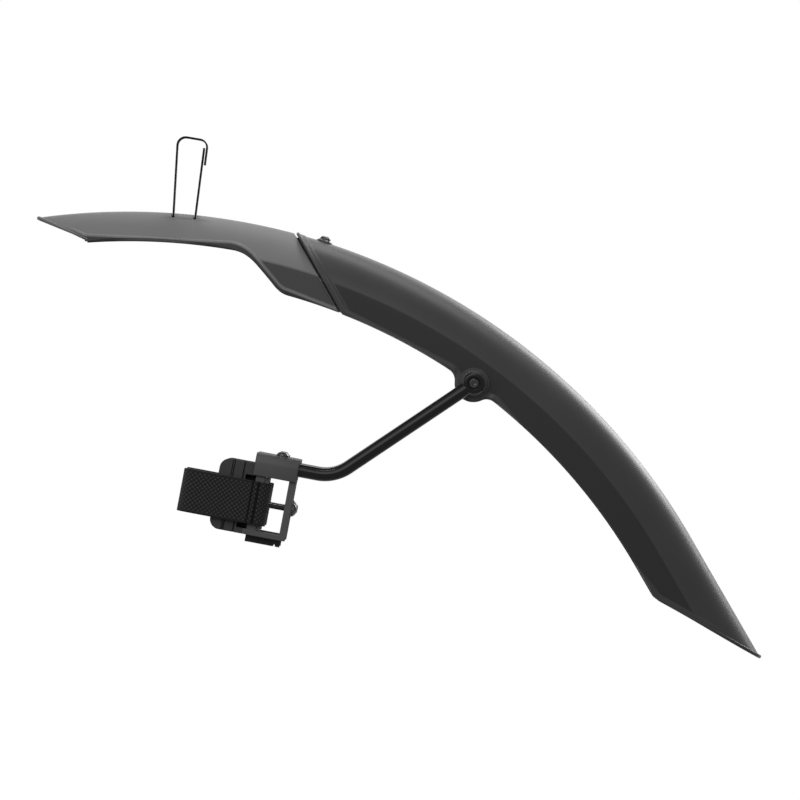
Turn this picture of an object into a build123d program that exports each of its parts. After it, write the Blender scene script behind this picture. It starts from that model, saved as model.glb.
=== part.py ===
from build123d import *

import os
from math import asin, cos, degrees, radians, sin, tan

# Clip-on rear mudguard for a bicycle: two telescoping blades on one arc, a strap at the front,
# and two swinging stays that end in strap clamps. Millimetres, X to the rear, Z up, Y across.
# The origin is on the crown of the front blade, midway between the slots of the front strap.
# Angles along the blades are counted about the arc's centre, from straight up, towards the rear.
# A depth is measured from the crown towards the arc's centre.

# The arc that both crowns follow
crown_radius = 487.5
strap_angle = 5.04
arc_end_angle = 60.0
tail_length = 104.3
wall = 2.2

# Rear blade
rear_crown_arc = 33.4
side_lean = 3.0
rear_depth = 46.5
tail_heel_length = 27.0
tail_heel_round = 12.5
seam_foot_round = 6.0
rim_width = 4.1
rim_rise = 0.6
panel_recess = 0.8
rear_panel_depth = 27.3

# Lip along the rear blade's front edge: a bead with a crest, and a low ridge behind it
bead_width = 2.6
bead_rise = 0.9
crest_near = 0.5
crest_far = 1.7
crest_rise = 1.4
ridge_near = 3.3
ridge_far = 4.9
ridge_rise = 0.5

# Seam between the blades, a straight cut in the side view
seam_top_angle = 15.12
seam_foot_angle = 21.4
seam_gap = 1.2

# Front blade
ridge_arc = 16.0
ridge_slope = 30.0
roof_arc = 69.0
roof_slope = 58.0
edge_arc = 6.0
tip_angle = -7.93
tip_heel_angle = -3.83
tip_heel_round = 5.0
neck_depth = 20.6
neck_angle = 10.7
neck_round = 30.0
shoulder_angle = 15.0
shoulder_round = 20.0
front_depth = 46.1
front_panel_depth = 26.2

# Tongue of the front blade, inside the rear blade
tongue_wall = 2.0
tongue_clearance = 0.3
tongue_depth = 42.5
tongue_length = 62.0
web_thickness = 2.0
section_travel = 35.0

# Crown screw, which locks the two blades
crown_screw_angle = 17.65
crown_seat_radius = 6.8
crown_seat_rise = 0.1
crown_cone_radius = 6.4
crown_cone_top_radius = 4.3
crown_cone_height = 1.9
crown_nut_gap = 1.5

# Front strap and its seat
strap_thickness = 1.4
strap_width = 20.0
strap_clearance = 0.4
strap_bridge_depth = 8.0
seat_half_length = 12.0
seat_half_width = 10.6
seat_foot_width = 13.4
seat_foot_depth = 5.8

# Fasteners, M4 throughout
shank_radius = 2.0
hole_clearance = 0.15
running_clearance = 0.05
nut_flats = 7.0
nut_height = 3.2
thread_tip = 0.6
backing_washer_radius = 5.0
backing_washer_thickness = 0.8
dome_radius = 4.0
dome_edge = 0.9
dome_rise = 2.0

# Pivot of the stays
pivot_angle = 35.9
pivot_depth = 44.9
ear_radius = 14.0
ear_fillet = 9.5
boss_radius = 11.6
boss_step_radius = 10.35
boss_rise = 1.5
boss_step = 0.7
inner_pad_radius = 7.5
inner_pad_height = 0.8
pivot_washer_radius = 9.2
pivot_washer_thickness = 1.0
pivot_play = 0.1
eye_radius = 8.2
counterbore_radius = 4.7
counterbore_depth = 4.4
cap_head_radius = 3.5
cap_head_height = 4.0
hex_key = 3.0
hex_depth = 2.2

# Stays
stay_radius = 5.0
upper_run = 125.6
upper_slope = 33.8
lower_run = 26.6
clamp_tilt = 10.7
bend_radius = 31.0
stay_insertion = 27.0

# Clamp frames, measured from the mouth of the socket: along the stay, and down from its axis
socket_radius = 8.0
socket_length = 33.2
socket_lip = 0.4
socket_skirt = 9.4
frame_half = 5.0
frame_edge = 0.5
side_bar = 5.0
bottom_bar = 4.0
frame_drop = 54.1
window_length = 18.05
middle_bar = 6.8
slot_length = 7.8
slot_margin = 0.5
plate_end = 58.5
plate_top = 0.6
plate_front = 4.4
plate_round = 7.6
groove_depth = 0.5
groove_places = [(39.6, 40.6), (47.4, 47.9), (48.9, 49.4)]
socket_screw_place = 13.9
socket_screw_seat = 4.9
socket_head_radius = 4.7
ramp_half_length = 6.3
ramp_height = 0.9

# Straps of the clamps
clamp_strap_thickness = 2.0
clamp_strap_width = 32.3
clamp_strap_top = 13.7
clamp_strap_hole = 2.5
stay_loop_radius = 8.0
strap_loop_length = 47.0
strap_right_end = 17.2
slider_gap = 0.3
slider_thickness = 3.7
guide_half = 3.5
guide_clearance = 0.3
square_nut_flats = 7.0
square_nut_height = 2.2
tension_screw_drop = 29.85
tension_head_radius = 5.0
tension_head_rise = 2.8

# Rubber liners
liner_thickness = 2.7
liner_margin = 1.5
liner_skirt_end = 59.3
liner_skirt_near = 3.8
liner_skirt_far = 30.2
liner_notch_near = 7.1
liner_notch_far = 8.8
liner_notch_height = 2.0

# Places worked out from the dimensions above
arc_x = -crown_radius * sin(radians(strap_angle))
arc_z = -crown_radius * cos(radians(strap_angle))
arc_axis = Axis((arc_x, 0, arc_z), (0, 1, 0))
rear_section = [(rear_crown_arc, 90 - side_lean)]
front_section = [(ridge_arc, ridge_slope), (roof_arc, roof_slope), (edge_arc, 90 - side_lean)]
skirt_depth = pivot_depth + ear_radius + 2 * wall

# How far sheets and cutting shapes run on past the edges that trim them
overrun = 10 * wall
overrun_angle = degrees(2 * overrun / crown_radius)
half_span = 2 * rear_crown_arc

os.makedirs("parts", exist_ok=True)


def arc_point(angle, depth):
    """Place in the side view, at an angle along the arc and a depth below the crown."""
    radius = crown_radius - depth
    return (arc_x + radius * sin(radians(angle)), arc_z + radius * cos(radians(angle)))


def tail_point(along, depth):
    """Place in the side view, along the straight tail and at a depth below its crown."""
    x, z = arc_point(arc_end_angle, depth)
    return (x + along * cos(radians(arc_end_angle)), z - along * sin(radians(arc_end_angle)))


def section_plane(angle):
    """Plane across the blades at an angle along the arc, its X across and its Y outwards."""
    turn = radians(angle)
    return Plane((arc_x, 0, arc_z), x_dir=(0, 1, 0), z_dir=(cos(turn), 0, -sin(turn)))


def crown_plane(angle):
    """Plane on the crown at an angle along the arc, its X to the rear and its Z outwards."""
    turn = radians(angle)
    x, z = arc_point(angle, 0)
    return Plane((x, 0, z), x_dir=(cos(turn), 0, -sin(turn)), z_dir=(sin(turn), 0, cos(turn)))


def half_section(section, inset, skirt):
    """Arcs and end of one half of a cross-section, moved inwards by inset: (half-width, radius)."""
    across = 0.0
    depth = inset
    slope = 0.0
    arcs = []
    for radius, end_slope in section:
        reach = radius - inset
        points = []
        for at in (slope, (slope + end_slope) / 2, end_slope):
            out = across + reach * (sin(radians(at)) - sin(radians(slope)))
            down = depth + reach * (cos(radians(slope)) - cos(radians(at)))
            points.append((out, crown_radius - down))
        arcs.append(points)
        across = points[2][0]
        depth = crown_radius - points[2][1]
        slope = end_slope
    foot = (across + (skirt - depth) * tan(radians(side_lean)), crown_radius - skirt)
    return arcs, foot


def half_width(section, depth):
    """Half-width of a cross-section's straight side at a depth."""
    foot = half_section(section, 0, depth)[1]
    return foot[0]


def blade_layer(section, outer, inner, start, end, tail, skirt):
    """Sheet between two insets of a cross-section, carried along the arc and down the tail."""
    with BuildPart() as layer:
        for angle, is_tail in ((start, False), (end, True)):
            if is_tail and tail == 0:
                continue
            with BuildSketch(section_plane(angle)) as band:
                with BuildLine():
                    feet = []
                    tops = []
                    for inset in (outer, inner):
                        arcs, foot = half_section(section, inset, skirt)
                        for points in arcs:
                            ThreePointArc(*points)
                        Line(arcs[-1][2], foot)
                        feet.append(foot)
                        tops.append(arcs[0][0])
                    Line(*feet)
                    Line(*tops)
                make_face()
                mirror(about=Plane.YZ)
            if is_tail:
                extrude(band.sketch, amount=tail)
            else:
                revolve(band.sketch, axis=arc_axis, revolution_arc=end - start)
    return layer.part


def save(piece, name):
    """Label a piece and write it."""
    piece.part.label = name
    export_step(piece.part, "parts/" + name + ".step")


def save_pair(piece, name):
    """Write the left piece, and its mirror image for the right side."""
    save(piece, name + "_left")
    with BuildPart() as right:
        mirror(piece.part, about=Plane.XZ)
    save(right, name + "_right")


# Side view of the seam and of what lies below the swage lines
seam_top = Vector(*arc_point(seam_top_angle, 0))
seam_foot = Vector(*arc_point(seam_foot_angle, rear_depth))
seam_down = (seam_foot - seam_top).normalized()
seam_rear = Vector(-seam_down.Y, seam_down.X)


def seam_strip(near, far, reach):
    """Side view between two lines along the seam, at distances to its rear, reach past its ends."""
    above = seam_top - seam_down * reach
    below = seam_foot + seam_down * reach
    with BuildSketch(Plane.XZ) as strip:
        with BuildLine():
            Polyline(
                above + seam_rear * near,
                below + seam_rear * near,
                below + seam_rear * far,
                above + seam_rear * far,
                close=True,
            )
        make_face()
    return strip.sketch


def below_swage(depth):
    """Side view of all that is deeper than a line along the blades."""
    with BuildSketch(Plane.XZ) as below:
        with BuildLine():
            ThreePointArc(arc_point(0, depth), arc_point(arc_end_angle / 2, depth), arc_point(arc_end_angle, depth))
            Polyline(
                arc_point(arc_end_angle, depth),
                tail_point(tail_length * 1.5, depth),
                tail_point(tail_length * 1.5, depth + 4 * overrun),
                (arc_x, arc_z),
                arc_point(0, depth),
            )
        make_face()
    return below.sketch


# Rear blade: side view, with the pivot's ear, then the band of its rim and its recessed panels
pivot_x, pivot_z = arc_point(pivot_angle, pivot_depth)
tail_cut = Vector(*tail_point(tail_length, 0)) - Vector(*tail_point(tail_heel_length, rear_depth))
with BuildSketch(Plane.XZ) as rear_outline:
    seam_start = seam_top - seam_down * overrun
    tail_end = Vector(*tail_point(tail_length, 0)) + tail_cut * 0.3
    rim_middle = (seam_foot_angle + arc_end_angle) / 2
    with BuildLine():
        Line(seam_start, seam_foot)
        ThreePointArc(seam_foot, arc_point(rim_middle, rear_depth), arc_point(arc_end_angle, rear_depth))
        Polyline(
            arc_point(arc_end_angle, rear_depth),
            tail_point(tail_heel_length, rear_depth),
            tail_end,
            arc_point(rim_middle, -crown_radius / 4),
            seam_start,
        )
    make_face()
    heel = rear_outline.vertices().sort_by_distance((*tail_point(tail_heel_length, rear_depth), 0))[0]
    fillet(heel, radius=tail_heel_round)
    toe = rear_outline.vertices().sort_by_distance((seam_foot.X, seam_foot.Y, 0))[0]
    fillet(toe, radius=seam_foot_round)
    with Locations((pivot_x, pivot_z)):
        Circle(ear_radius)
    necks = rear_outline.vertices().sort_by_distance((pivot_x, pivot_z, 0))[:2]
    fillet(necks, radius=ear_fillet)

with BuildSketch(Plane.XZ) as rear_rim_band:
    add(rear_outline.sketch)
    offset(rear_outline.sketch, amount=-rim_width, mode=Mode.SUBTRACT)
    with Locations((pivot_x, pivot_z)):
        Circle(ear_radius + wall / 2, mode=Mode.SUBTRACT)

with BuildSketch(Plane.XZ) as rear_panel_area:
    offset(rear_outline.sketch, amount=-rim_width)
    add(below_swage(rear_panel_depth), mode=Mode.INTERSECT)

rear_span = (seam_top_angle - overrun_angle, arc_end_angle, tail_length + overrun, skirt_depth)
with BuildPart() as rear_rim:
    add(blade_layer(rear_section, -rim_rise, wall / 2, *rear_span))
    extrude(rear_rim_band.sketch, amount=half_span, both=True, mode=Mode.INTERSECT)


def lip_strip(near, far, rise):
    """Raised strip of the rear blade along the seam, between two distances from it."""
    with BuildPart() as strip:
        add(blade_layer(rear_section, -rise, wall / 2, *rear_span))
        extrude(rear_outline.sketch, amount=half_span, both=True, mode=Mode.INTERSECT)
        extrude(seam_strip(near, far, overrun), amount=half_span, both=True, mode=Mode.INTERSECT)
    return strip.part


with BuildPart() as rear_panels:
    add(blade_layer(rear_section, -wall / 2, panel_recess, *rear_span))
    extrude(rear_panel_area.sketch, amount=half_span, both=True, mode=Mode.INTERSECT)

# Pivot stack, counted outwards from the middle of the blade
boss_face = half_width(rear_section, pivot_depth) + boss_rise
inner_face = half_width(rear_section, pivot_depth) - wall - inner_pad_height
stay_y = boss_face + pivot_washer_thickness + pivot_play + stay_radius
eye_face = stay_y + stay_radius
head_seat = eye_face - counterbore_depth + running_clearance
bolt_tip = inner_face - backing_washer_thickness - nut_height - thread_tip


def pivot_plane(out):
    """Plane across the left pivot's axis, a distance out from the middle, facing outwards."""
    return Plane((pivot_x, -out, pivot_z), x_dir=(1, 0, 0), z_dir=(0, -1, 0))


with BuildPart() as pivot_boss:
    with BuildSketch(pivot_plane(boss_face - boss_step)):
        Circle(boss_radius)
    extrude(amount=-(boss_rise + wall / 2))
    with BuildSketch(pivot_plane(boss_face)):
        Circle(boss_step_radius)
    extrude(amount=-(boss_rise + wall / 2))
    with BuildSketch(pivot_plane(inner_face)):
        Circle(inner_pad_radius)
    extrude(amount=boss_face - inner_face - boss_step)

# The seat of the crown screw, flat on the curved crown
with BuildPart() as crown_seat:
    with BuildSketch(crown_plane(crown_screw_angle).offset(crown_seat_rise)):
        Circle(crown_seat_radius)
    extrude(amount=-(crown_seat_rise + wall * 0.6))

with BuildPart() as rear_blade:
    add(blade_layer(rear_section, 0, wall, *rear_span))
    extrude(rear_outline.sketch, amount=half_span, both=True, mode=Mode.INTERSECT)
    add(rear_panels.part, mode=Mode.SUBTRACT)
    add(rear_rim.part)
    add(lip_strip(0, bead_width, bead_rise))
    add(lip_strip(crest_near, crest_far, crest_rise))
    add(lip_strip(ridge_near, ridge_far, ridge_rise))
    add(crown_seat.part)
    add(pivot_boss.part)
    add(mirror(pivot_boss.part, about=Plane.XZ, mode=Mode.PRIVATE))
    with BuildSketch(pivot_plane(0)):
        Circle(shank_radius + hole_clearance)
    extrude(amount=half_span, both=True, mode=Mode.SUBTRACT)
    with BuildSketch(crown_plane(crown_screw_angle)):
        Circle(shank_radius + hole_clearance)
    extrude(amount=wall * 2, both=True, mode=Mode.SUBTRACT)
save(rear_blade, "rear_blade")

# Front blade: side view up to beyond the seam, so that its rim runs on to the seam
with BuildSketch(Plane.XZ) as front_outline:
    beyond = seam_foot_angle + overrun_angle
    tip = Vector(*arc_point(tip_angle, 0))
    tip_heel = Vector(*arc_point(tip_heel_angle, neck_depth))
    tip_above = tip + (tip - tip_heel).normalized() * overrun
    neck_middle = (tip_heel_angle + neck_angle) / 2
    shoulder_middle = (shoulder_angle + beyond) / 2
    with BuildLine():
        Line(tip_above, tip_heel)
        ThreePointArc(tip_heel, arc_point(neck_middle, neck_depth), arc_point(neck_angle, neck_depth))
        Line(arc_point(neck_angle, neck_depth), arc_point(shoulder_angle, front_depth))
        ThreePointArc(
            arc_point(shoulder_angle, front_depth),
            arc_point(shoulder_middle, front_depth),
            arc_point(beyond, front_depth),
        )
        Polyline(
            arc_point(beyond, front_depth),
            arc_point(beyond, -2 * overrun),
            arc_point(neck_middle, -2 * overrun),
            tip_above,
        )
    make_face()
    for angle, depth, radius in (
        (tip_heel_angle, neck_depth, tip_heel_round),
        (neck_angle, neck_depth, neck_round),
        (shoulder_angle, front_depth, shoulder_round),
    ):
        corner = front_outline.vertices().sort_by_distance((*arc_point(angle, depth), 0))[0]
        fillet(corner, radius=radius)

with BuildSketch(Plane.XZ) as front_rim_band:
    add(front_outline.sketch)
    offset(front_outline.sketch, amount=-rim_width, mode=Mode.SUBTRACT)

with BuildSketch(Plane.XZ) as front_panel_area:
    offset(front_outline.sketch, amount=-rim_width)
    add(below_swage(front_panel_depth), mode=Mode.INTERSECT)

front_span = (tip_angle - overrun_angle, beyond, 0, front_depth + 2 * wall)
front_end = seam_strip(-crown_radius, -seam_gap, crown_radius)
with BuildPart() as front_rim:
    add(blade_layer(front_section, -rim_rise, wall / 2, *front_span))
    extrude(front_rim_band.sketch, amount=half_span, both=True, mode=Mode.INTERSECT)
    extrude(front_end, amount=half_span, both=True, mode=Mode.INTERSECT)

with BuildPart() as front_panels:
    add(blade_layer(front_section, -wall / 2, panel_recess, *front_span))
    extrude(front_panel_area.sketch, amount=half_span, both=True, mode=Mode.INTERSECT)

# The web steps down from the blade to the tongue, which slides under the rear blade
tongue_inset = wall + tongue_clearance
web_start = -seam_gap - web_thickness
with BuildPart() as front_web:
    add(blade_layer(front_section, wall / 2, tongue_inset + tongue_wall, *front_span[:3], tongue_depth))
    extrude(seam_strip(web_start, -seam_gap, overrun), amount=half_span, both=True, mode=Mode.INTERSECT)

tongue_end_angle = beyond + degrees(tongue_length / crown_radius)
with BuildPart() as tongue:
    tongue_span = (seam_top_angle - overrun_angle, tongue_end_angle, 0, tongue_depth)
    add(blade_layer(front_section, tongue_inset, tongue_inset + tongue_wall, *tongue_span))
    extrude(seam_strip(web_start, tongue_length, tongue_length), amount=half_span, both=True, mode=Mode.INTERSECT)

# The seat of the front strap widens the ridge to a flat as wide as the strap
seat_angle = degrees(seat_half_length / crown_radius)
with BuildPart() as strap_seat:
    with BuildSketch(section_plane(strap_angle - seat_angle)):
        with BuildLine():
            Polyline(
                (0, crown_radius),
                (seat_half_width, crown_radius),
                (seat_foot_width, crown_radius - seat_foot_depth),
                (ridge_arc / 2, crown_radius - wall * 1.5),
                (0, crown_radius - wall * 0.6),
                close=True,
            )
        make_face()
        mirror(about=Plane.YZ)
    revolve(axis=arc_axis, revolution_arc=2 * seat_angle)

# Route of the front strap: a hook-and-loop tape closed on its own end, seen edge on
strap_route = [
    (14.7, 49.3),
    (8.25, -0.8),
    (7.2, -strap_bridge_depth - 0.8),
    (-8.8, -strap_bridge_depth + 0.7),
    (-8.33, -0.75),
    (-4.95, 58.6),
    (17.55, 54.75),
    (15.2, 36.6),
]
strap_rounds = [0, 2.6, 2.6, 0, 6.3, 5.8]

with BuildSketch(Plane.XZ) as strap_slots:
    for lower, upper in ((2, 1), (3, 4)):
        low = Vector(*strap_route[lower])
        high = Vector(*strap_route[upper])
        with BuildLine() as slot_line:
            Line(low + (high - low) * 0.15, low + (high - low) * 1.6)
        trace(slot_line.line, line_width=strap_thickness + 2 * strap_clearance)

with BuildPart() as front_blade:
    add(blade_layer(front_section, 0, wall, *front_span))
    extrude(front_outline.sketch, amount=half_span, both=True, mode=Mode.INTERSECT)
    extrude(front_end, amount=half_span, both=True, mode=Mode.INTERSECT)
    add(front_panels.part, mode=Mode.SUBTRACT)
    add(front_rim.part)
    add(front_web.part)
    add(tongue.part)
    add(strap_seat.part)
    slot_half = strap_width / 2 + strap_clearance
    extrude(strap_slots.sketch, amount=slot_half, both=True, mode=Mode.SUBTRACT)
    travel_angle = degrees(section_travel / crown_radius)
    with BuildSketch(crown_plane(crown_screw_angle + travel_angle / 2)):
        SlotCenterToCenter(section_travel + 4 * hole_clearance, 2 * (shank_radius + hole_clearance))
    extrude(amount=-2 * (tongue_inset + tongue_wall), mode=Mode.SUBTRACT)
save(front_blade, "front_blade")

with BuildPart() as front_strap:
    with BuildSketch(Plane.XZ):
        with BuildLine() as route:
            FilletPolyline(*strap_route, radius=strap_rounds)
        trace(route.line, line_width=strap_thickness)
    extrude(amount=strap_width / 2, both=True)
save(front_strap, "front_strap")


def domed_screw(plane, radius, rise, shank, key):
    """Domed head on a plane, with a hexagonal socket and a plain shank below."""
    ball = (radius**2 + rise**2) / (2 * rise)
    half_turn = asin(radius / ball) / 2
    with BuildPart() as screw:
        with BuildSketch(Plane.XZ):
            with BuildLine():
                Line((0, 0), (radius, 0))
                Line((radius, 0), (radius, dome_edge))
                ThreePointArc(
                    (radius, dome_edge),
                    (ball * sin(half_turn), dome_edge + rise - ball * (1 - cos(half_turn))),
                    (0, dome_edge + rise),
                )
                Line((0, dome_edge + rise), (0, 0))
            make_face()
        revolve(axis=Axis.Z)
        Cylinder(shank_radius, shank, align=(Align.CENTER, Align.CENTER, Align.MAX))
        with BuildSketch(Plane.XY.offset(dome_edge + rise)):
            RegularPolygon(key / 2, 6, major_radius=False)
        extrude(amount=-(dome_edge + rise * 0.5), mode=Mode.SUBTRACT)
    return plane.from_local_coords(screw.part)


def hex_nut(plane, height, bore):
    """Hexagonal nut whose lower face lies on a plane."""
    with BuildPart() as nut:
        with BuildSketch(plane):
            RegularPolygon(nut_flats / 2, 6, major_radius=False)
            Circle(bore, mode=Mode.SUBTRACT)
        extrude(amount=height)
    return nut.part


# Crown screw, its conical washer, and the washer and nut under the tongue
crown_at = crown_plane(crown_screw_angle)
crown_head = crown_seat_rise + crown_cone_height
tongue_bore = tongue_inset + tongue_wall
crown_backing = -(tongue_bore + crown_nut_gap)
with BuildPart() as crown_washer:
    with BuildSketch(crown_at.offset(crown_seat_rise)):
        Circle(crown_cone_radius)
    with BuildSketch(crown_at.offset(crown_head)):
        Circle(crown_cone_top_radius)
    loft()
    with BuildSketch(crown_at.offset(crown_head)):
        Circle(shank_radius + hole_clearance)
    extrude(amount=-crown_head, mode=Mode.SUBTRACT)
save(crown_washer, "crown_washer")

crown_shank = crown_head - crown_backing + backing_washer_thickness + nut_height + thread_tip
with BuildPart() as crown_screw:
    add(domed_screw(crown_at.offset(crown_head), dome_radius, dome_rise, crown_shank, hex_key))
save(crown_screw, "crown_screw")

with BuildPart() as crown_backing_washer:
    with BuildSketch(crown_at.offset(crown_backing)):
        Circle(backing_washer_radius)
        Circle(shank_radius + hole_clearance, mode=Mode.SUBTRACT)
    extrude(amount=-backing_washer_thickness)
save(crown_backing_washer, "crown_backing_washer")

with BuildPart() as crown_nut:
    nut_base = crown_backing - backing_washer_thickness - nut_height
    add(hex_nut(crown_at.offset(nut_base), nut_height, shank_radius + running_clearance))
save(crown_nut, "crown_nut")

# Pivot bolts, washers and nuts
with BuildPart() as pivot_bolt:
    with BuildSketch(pivot_plane(head_seat)):
        Circle(cap_head_radius)
    extrude(amount=cap_head_height)
    rim_edge = pivot_bolt.edges().filter_by(GeomType.CIRCLE).sort_by(Axis.Y)[0]
    chamfer(rim_edge, length=0.4)
    with BuildSketch(pivot_plane(head_seat + cap_head_height)):
        RegularPolygon(hex_key / 2, 6, major_radius=False)
    extrude(amount=-hex_depth, mode=Mode.SUBTRACT)
    with BuildSketch(pivot_plane(head_seat)):
        Circle(shank_radius)
    extrude(amount=-(head_seat - bolt_tip))
save_pair(pivot_bolt, "pivot_bolt")

with BuildPart() as pivot_washer:
    with BuildSketch(pivot_plane(boss_face)):
        Circle(pivot_washer_radius)
        Circle(shank_radius + hole_clearance, mode=Mode.SUBTRACT)
    extrude(amount=pivot_washer_thickness)
save_pair(pivot_washer, "pivot_washer")

with BuildPart() as pivot_backing_washer:
    with BuildSketch(pivot_plane(inner_face)):
        Circle(backing_washer_radius)
        Circle(shank_radius + hole_clearance, mode=Mode.SUBTRACT)
    extrude(amount=-backing_washer_thickness)
save_pair(pivot_backing_washer, "pivot_backing_washer")

with BuildPart() as pivot_nut:
    nut_out = inner_face - backing_washer_thickness - nut_height
    add(hex_nut(pivot_plane(nut_out), nut_height, shank_radius + running_clearance))
save_pair(pivot_nut, "pivot_nut")

# The clamp's own directions: along the stay towards the bend, down from it, and outwards
upper_turn = radians(upper_slope)
tilt = radians(clamp_tilt)
corner_x = pivot_x - upper_run * cos(upper_turn)
corner_z = pivot_z - upper_run * sin(upper_turn)
mouth_x = corner_x - lower_run * cos(tilt)
mouth_z = corner_z + lower_run * sin(tilt)
along = Vector(cos(tilt), 0, -sin(tilt))
down = Vector(-sin(tilt), 0, -cos(tilt))
mouth = Vector(mouth_x, -stay_y, mouth_z)


def face_plane(out):
    """Plane seen from the left, a distance out from the stay's axis: X along, Y up."""
    return Plane(mouth - Vector(0, out, 0), x_dir=along, z_dir=(0, -1, 0))


def end_plane(at):
    """Plane across the stay at a distance along it: X outwards, Y down."""
    return Plane(mouth + along * at, x_dir=(0, -1, 0), z_dir=along)


def level_plane(drop):
    """Plane along the stay at a drop below it: X along, Y outwards, facing down."""
    return Plane(mouth + down * drop, x_dir=along, z_dir=down)


# Stay: one bent round rod with an eye at the pivot
with BuildPart() as stay:
    insertion_end = mouth - along * stay_insertion
    with BuildLine() as stay_route:
        FilletPolyline(
            (pivot_x, -stay_y, pivot_z),
            (corner_x, -stay_y, corner_z),
            insertion_end,
            radius=bend_radius,
        )
    with BuildSketch(Plane(stay_route.line @ 0, z_dir=stay_route.line % 0)):
        Circle(stay_radius)
    sweep()
    with BuildSketch(pivot_plane(stay_y)):
        Circle(eye_radius)
    extrude(amount=stay_radius, both=True)
    with BuildSketch(pivot_plane(eye_face)):
        Circle(counterbore_radius)
    extrude(amount=-counterbore_depth, mode=Mode.SUBTRACT)
    with BuildSketch(pivot_plane(stay_y)):
        Circle(shank_radius + running_clearance)
    extrude(amount=2 * stay_radius, both=True, mode=Mode.SUBTRACT)
save_pair(stay, "stay")

# Clamp frame
window_near = frame_edge + side_bar
window_far = window_near + window_length
slot_near = window_far + middle_bar
slot_far = slot_near + slot_length
fold_centre = strap_right_end + stay_loop_radius + clamp_strap_thickness
window_foot = frame_drop - bottom_bar


def face_box(near, far, top, foot):
    """Rectangle in a clamp's face, between two distances from the mouth and two drops."""
    with Locations((-(near + far) / 2, -(top + foot) / 2)):
        Rectangle(far - near, foot - top)


with BuildPart() as clamp_frame:
    with BuildSketch(end_plane(socket_lip)):
        Circle(socket_radius)
        with Locations((0, socket_skirt / 2)):
            Rectangle(2 * socket_radius, socket_skirt)
    extrude(amount=-(socket_length + socket_lip))
    with BuildSketch(face_plane(0)):
        face_box(frame_edge, socket_length, 0, frame_drop)
    extrude(amount=frame_half, both=True)
    with BuildSketch(face_plane(-frame_half)) as plate_face:
        face_box(slot_near, plate_end, plate_top, frame_drop)
        left = plate_face.vertices().sort_by(Axis.X)[:2]
        fillet(left, radius=plate_round)
    extrude(amount=frame_half + plate_front)
    with BuildSketch(face_plane(0)):
        face_box(window_near, window_far, socket_skirt, window_foot)
        face_box(slot_near, slot_far, socket_skirt + slot_margin, window_foot - slot_margin / 2)
    extrude(amount=2 * socket_radius, both=True, mode=Mode.SUBTRACT)
    with BuildSketch(face_plane(plate_front)):
        for near, far in groove_places:
            face_box(near, far, plate_top, frame_drop)
    extrude(amount=-groove_depth, mode=Mode.SUBTRACT)
    with BuildSketch(face_plane(0)):
        with BuildLine():
            Polyline(
                (-frame_edge, -(tension_screw_drop - ramp_half_length)),
                (-frame_edge + ramp_height, -(tension_screw_drop - ramp_half_length + ramp_height)),
                (-frame_edge + ramp_height, -(tension_screw_drop + ramp_half_length - ramp_height)),
                (-frame_edge, -(tension_screw_drop + ramp_half_length)),
                close=True,
            )
        make_face()
    extrude(amount=frame_half, both=True)
    with BuildSketch(level_plane(-socket_radius)):
        with Locations((-socket_screw_place, 0)):
            Circle(socket_screw_seat)
    extrude(amount=socket_radius / 2)
    with BuildSketch(end_plane(socket_lip)):
        Circle(stay_radius + running_clearance)
    extrude(amount=-(socket_lip + stay_insertion + 1), mode=Mode.SUBTRACT)
    with BuildSketch(level_plane(-socket_radius)):
        with Locations((-socket_screw_place, 0)):
            Circle(shank_radius + running_clearance)
    extrude(amount=socket_radius, mode=Mode.SUBTRACT)
    with BuildSketch(end_plane(socket_lip + ramp_height)):
        with Locations((0, tension_screw_drop)):
            Circle(shank_radius + running_clearance)
    extrude(amount=-(window_near + socket_lip + ramp_height), mode=Mode.SUBTRACT)
save_pair(clamp_frame, "clamp_frame")

# Rubber liner behind the plate, with a skirt that shows below the frame
with BuildPart() as clamp_liner:
    with BuildSketch(face_plane(-frame_half)) as liner_face:
        liner_foot = frame_drop - liner_margin
        face_box(socket_length + guide_clearance, plate_end - liner_margin, plate_top + liner_margin, liner_foot)
        left = liner_face.vertices().sort_by(Axis.X)[:2]
        fillet(left, radius=plate_round - liner_margin)
        face_box(fold_centre, slot_far, socket_skirt + guide_clearance, liner_foot)
        face_box(liner_skirt_near, liner_skirt_far, window_foot + liner_margin / 8, liner_skirt_end)
        with BuildLine():
            notch_middle = (liner_notch_near + liner_notch_far) / 2
            Polyline(
                (-liner_notch_near, -liner_skirt_end),
                (-notch_middle, -liner_skirt_end + liner_notch_height),
                (-liner_notch_far, -liner_skirt_end),
                close=True,
            )
        make_face(mode=Mode.SUBTRACT)
    extrude(amount=-liner_thickness)
save_pair(clamp_liner, "clamp_liner")

# Screw that locks the stay in its socket
socket_screw_plane = Plane(
    mouth - along * socket_screw_place - down * socket_radius, x_dir=along, z_dir=down * -1
)
with BuildPart() as socket_screw:
    screw_reach = socket_radius - stay_radius - 4 * running_clearance
    add(domed_screw(socket_screw_plane, socket_head_radius, tension_head_rise, screw_reach, hex_key))
save_pair(socket_screw, "socket_screw")

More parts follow.
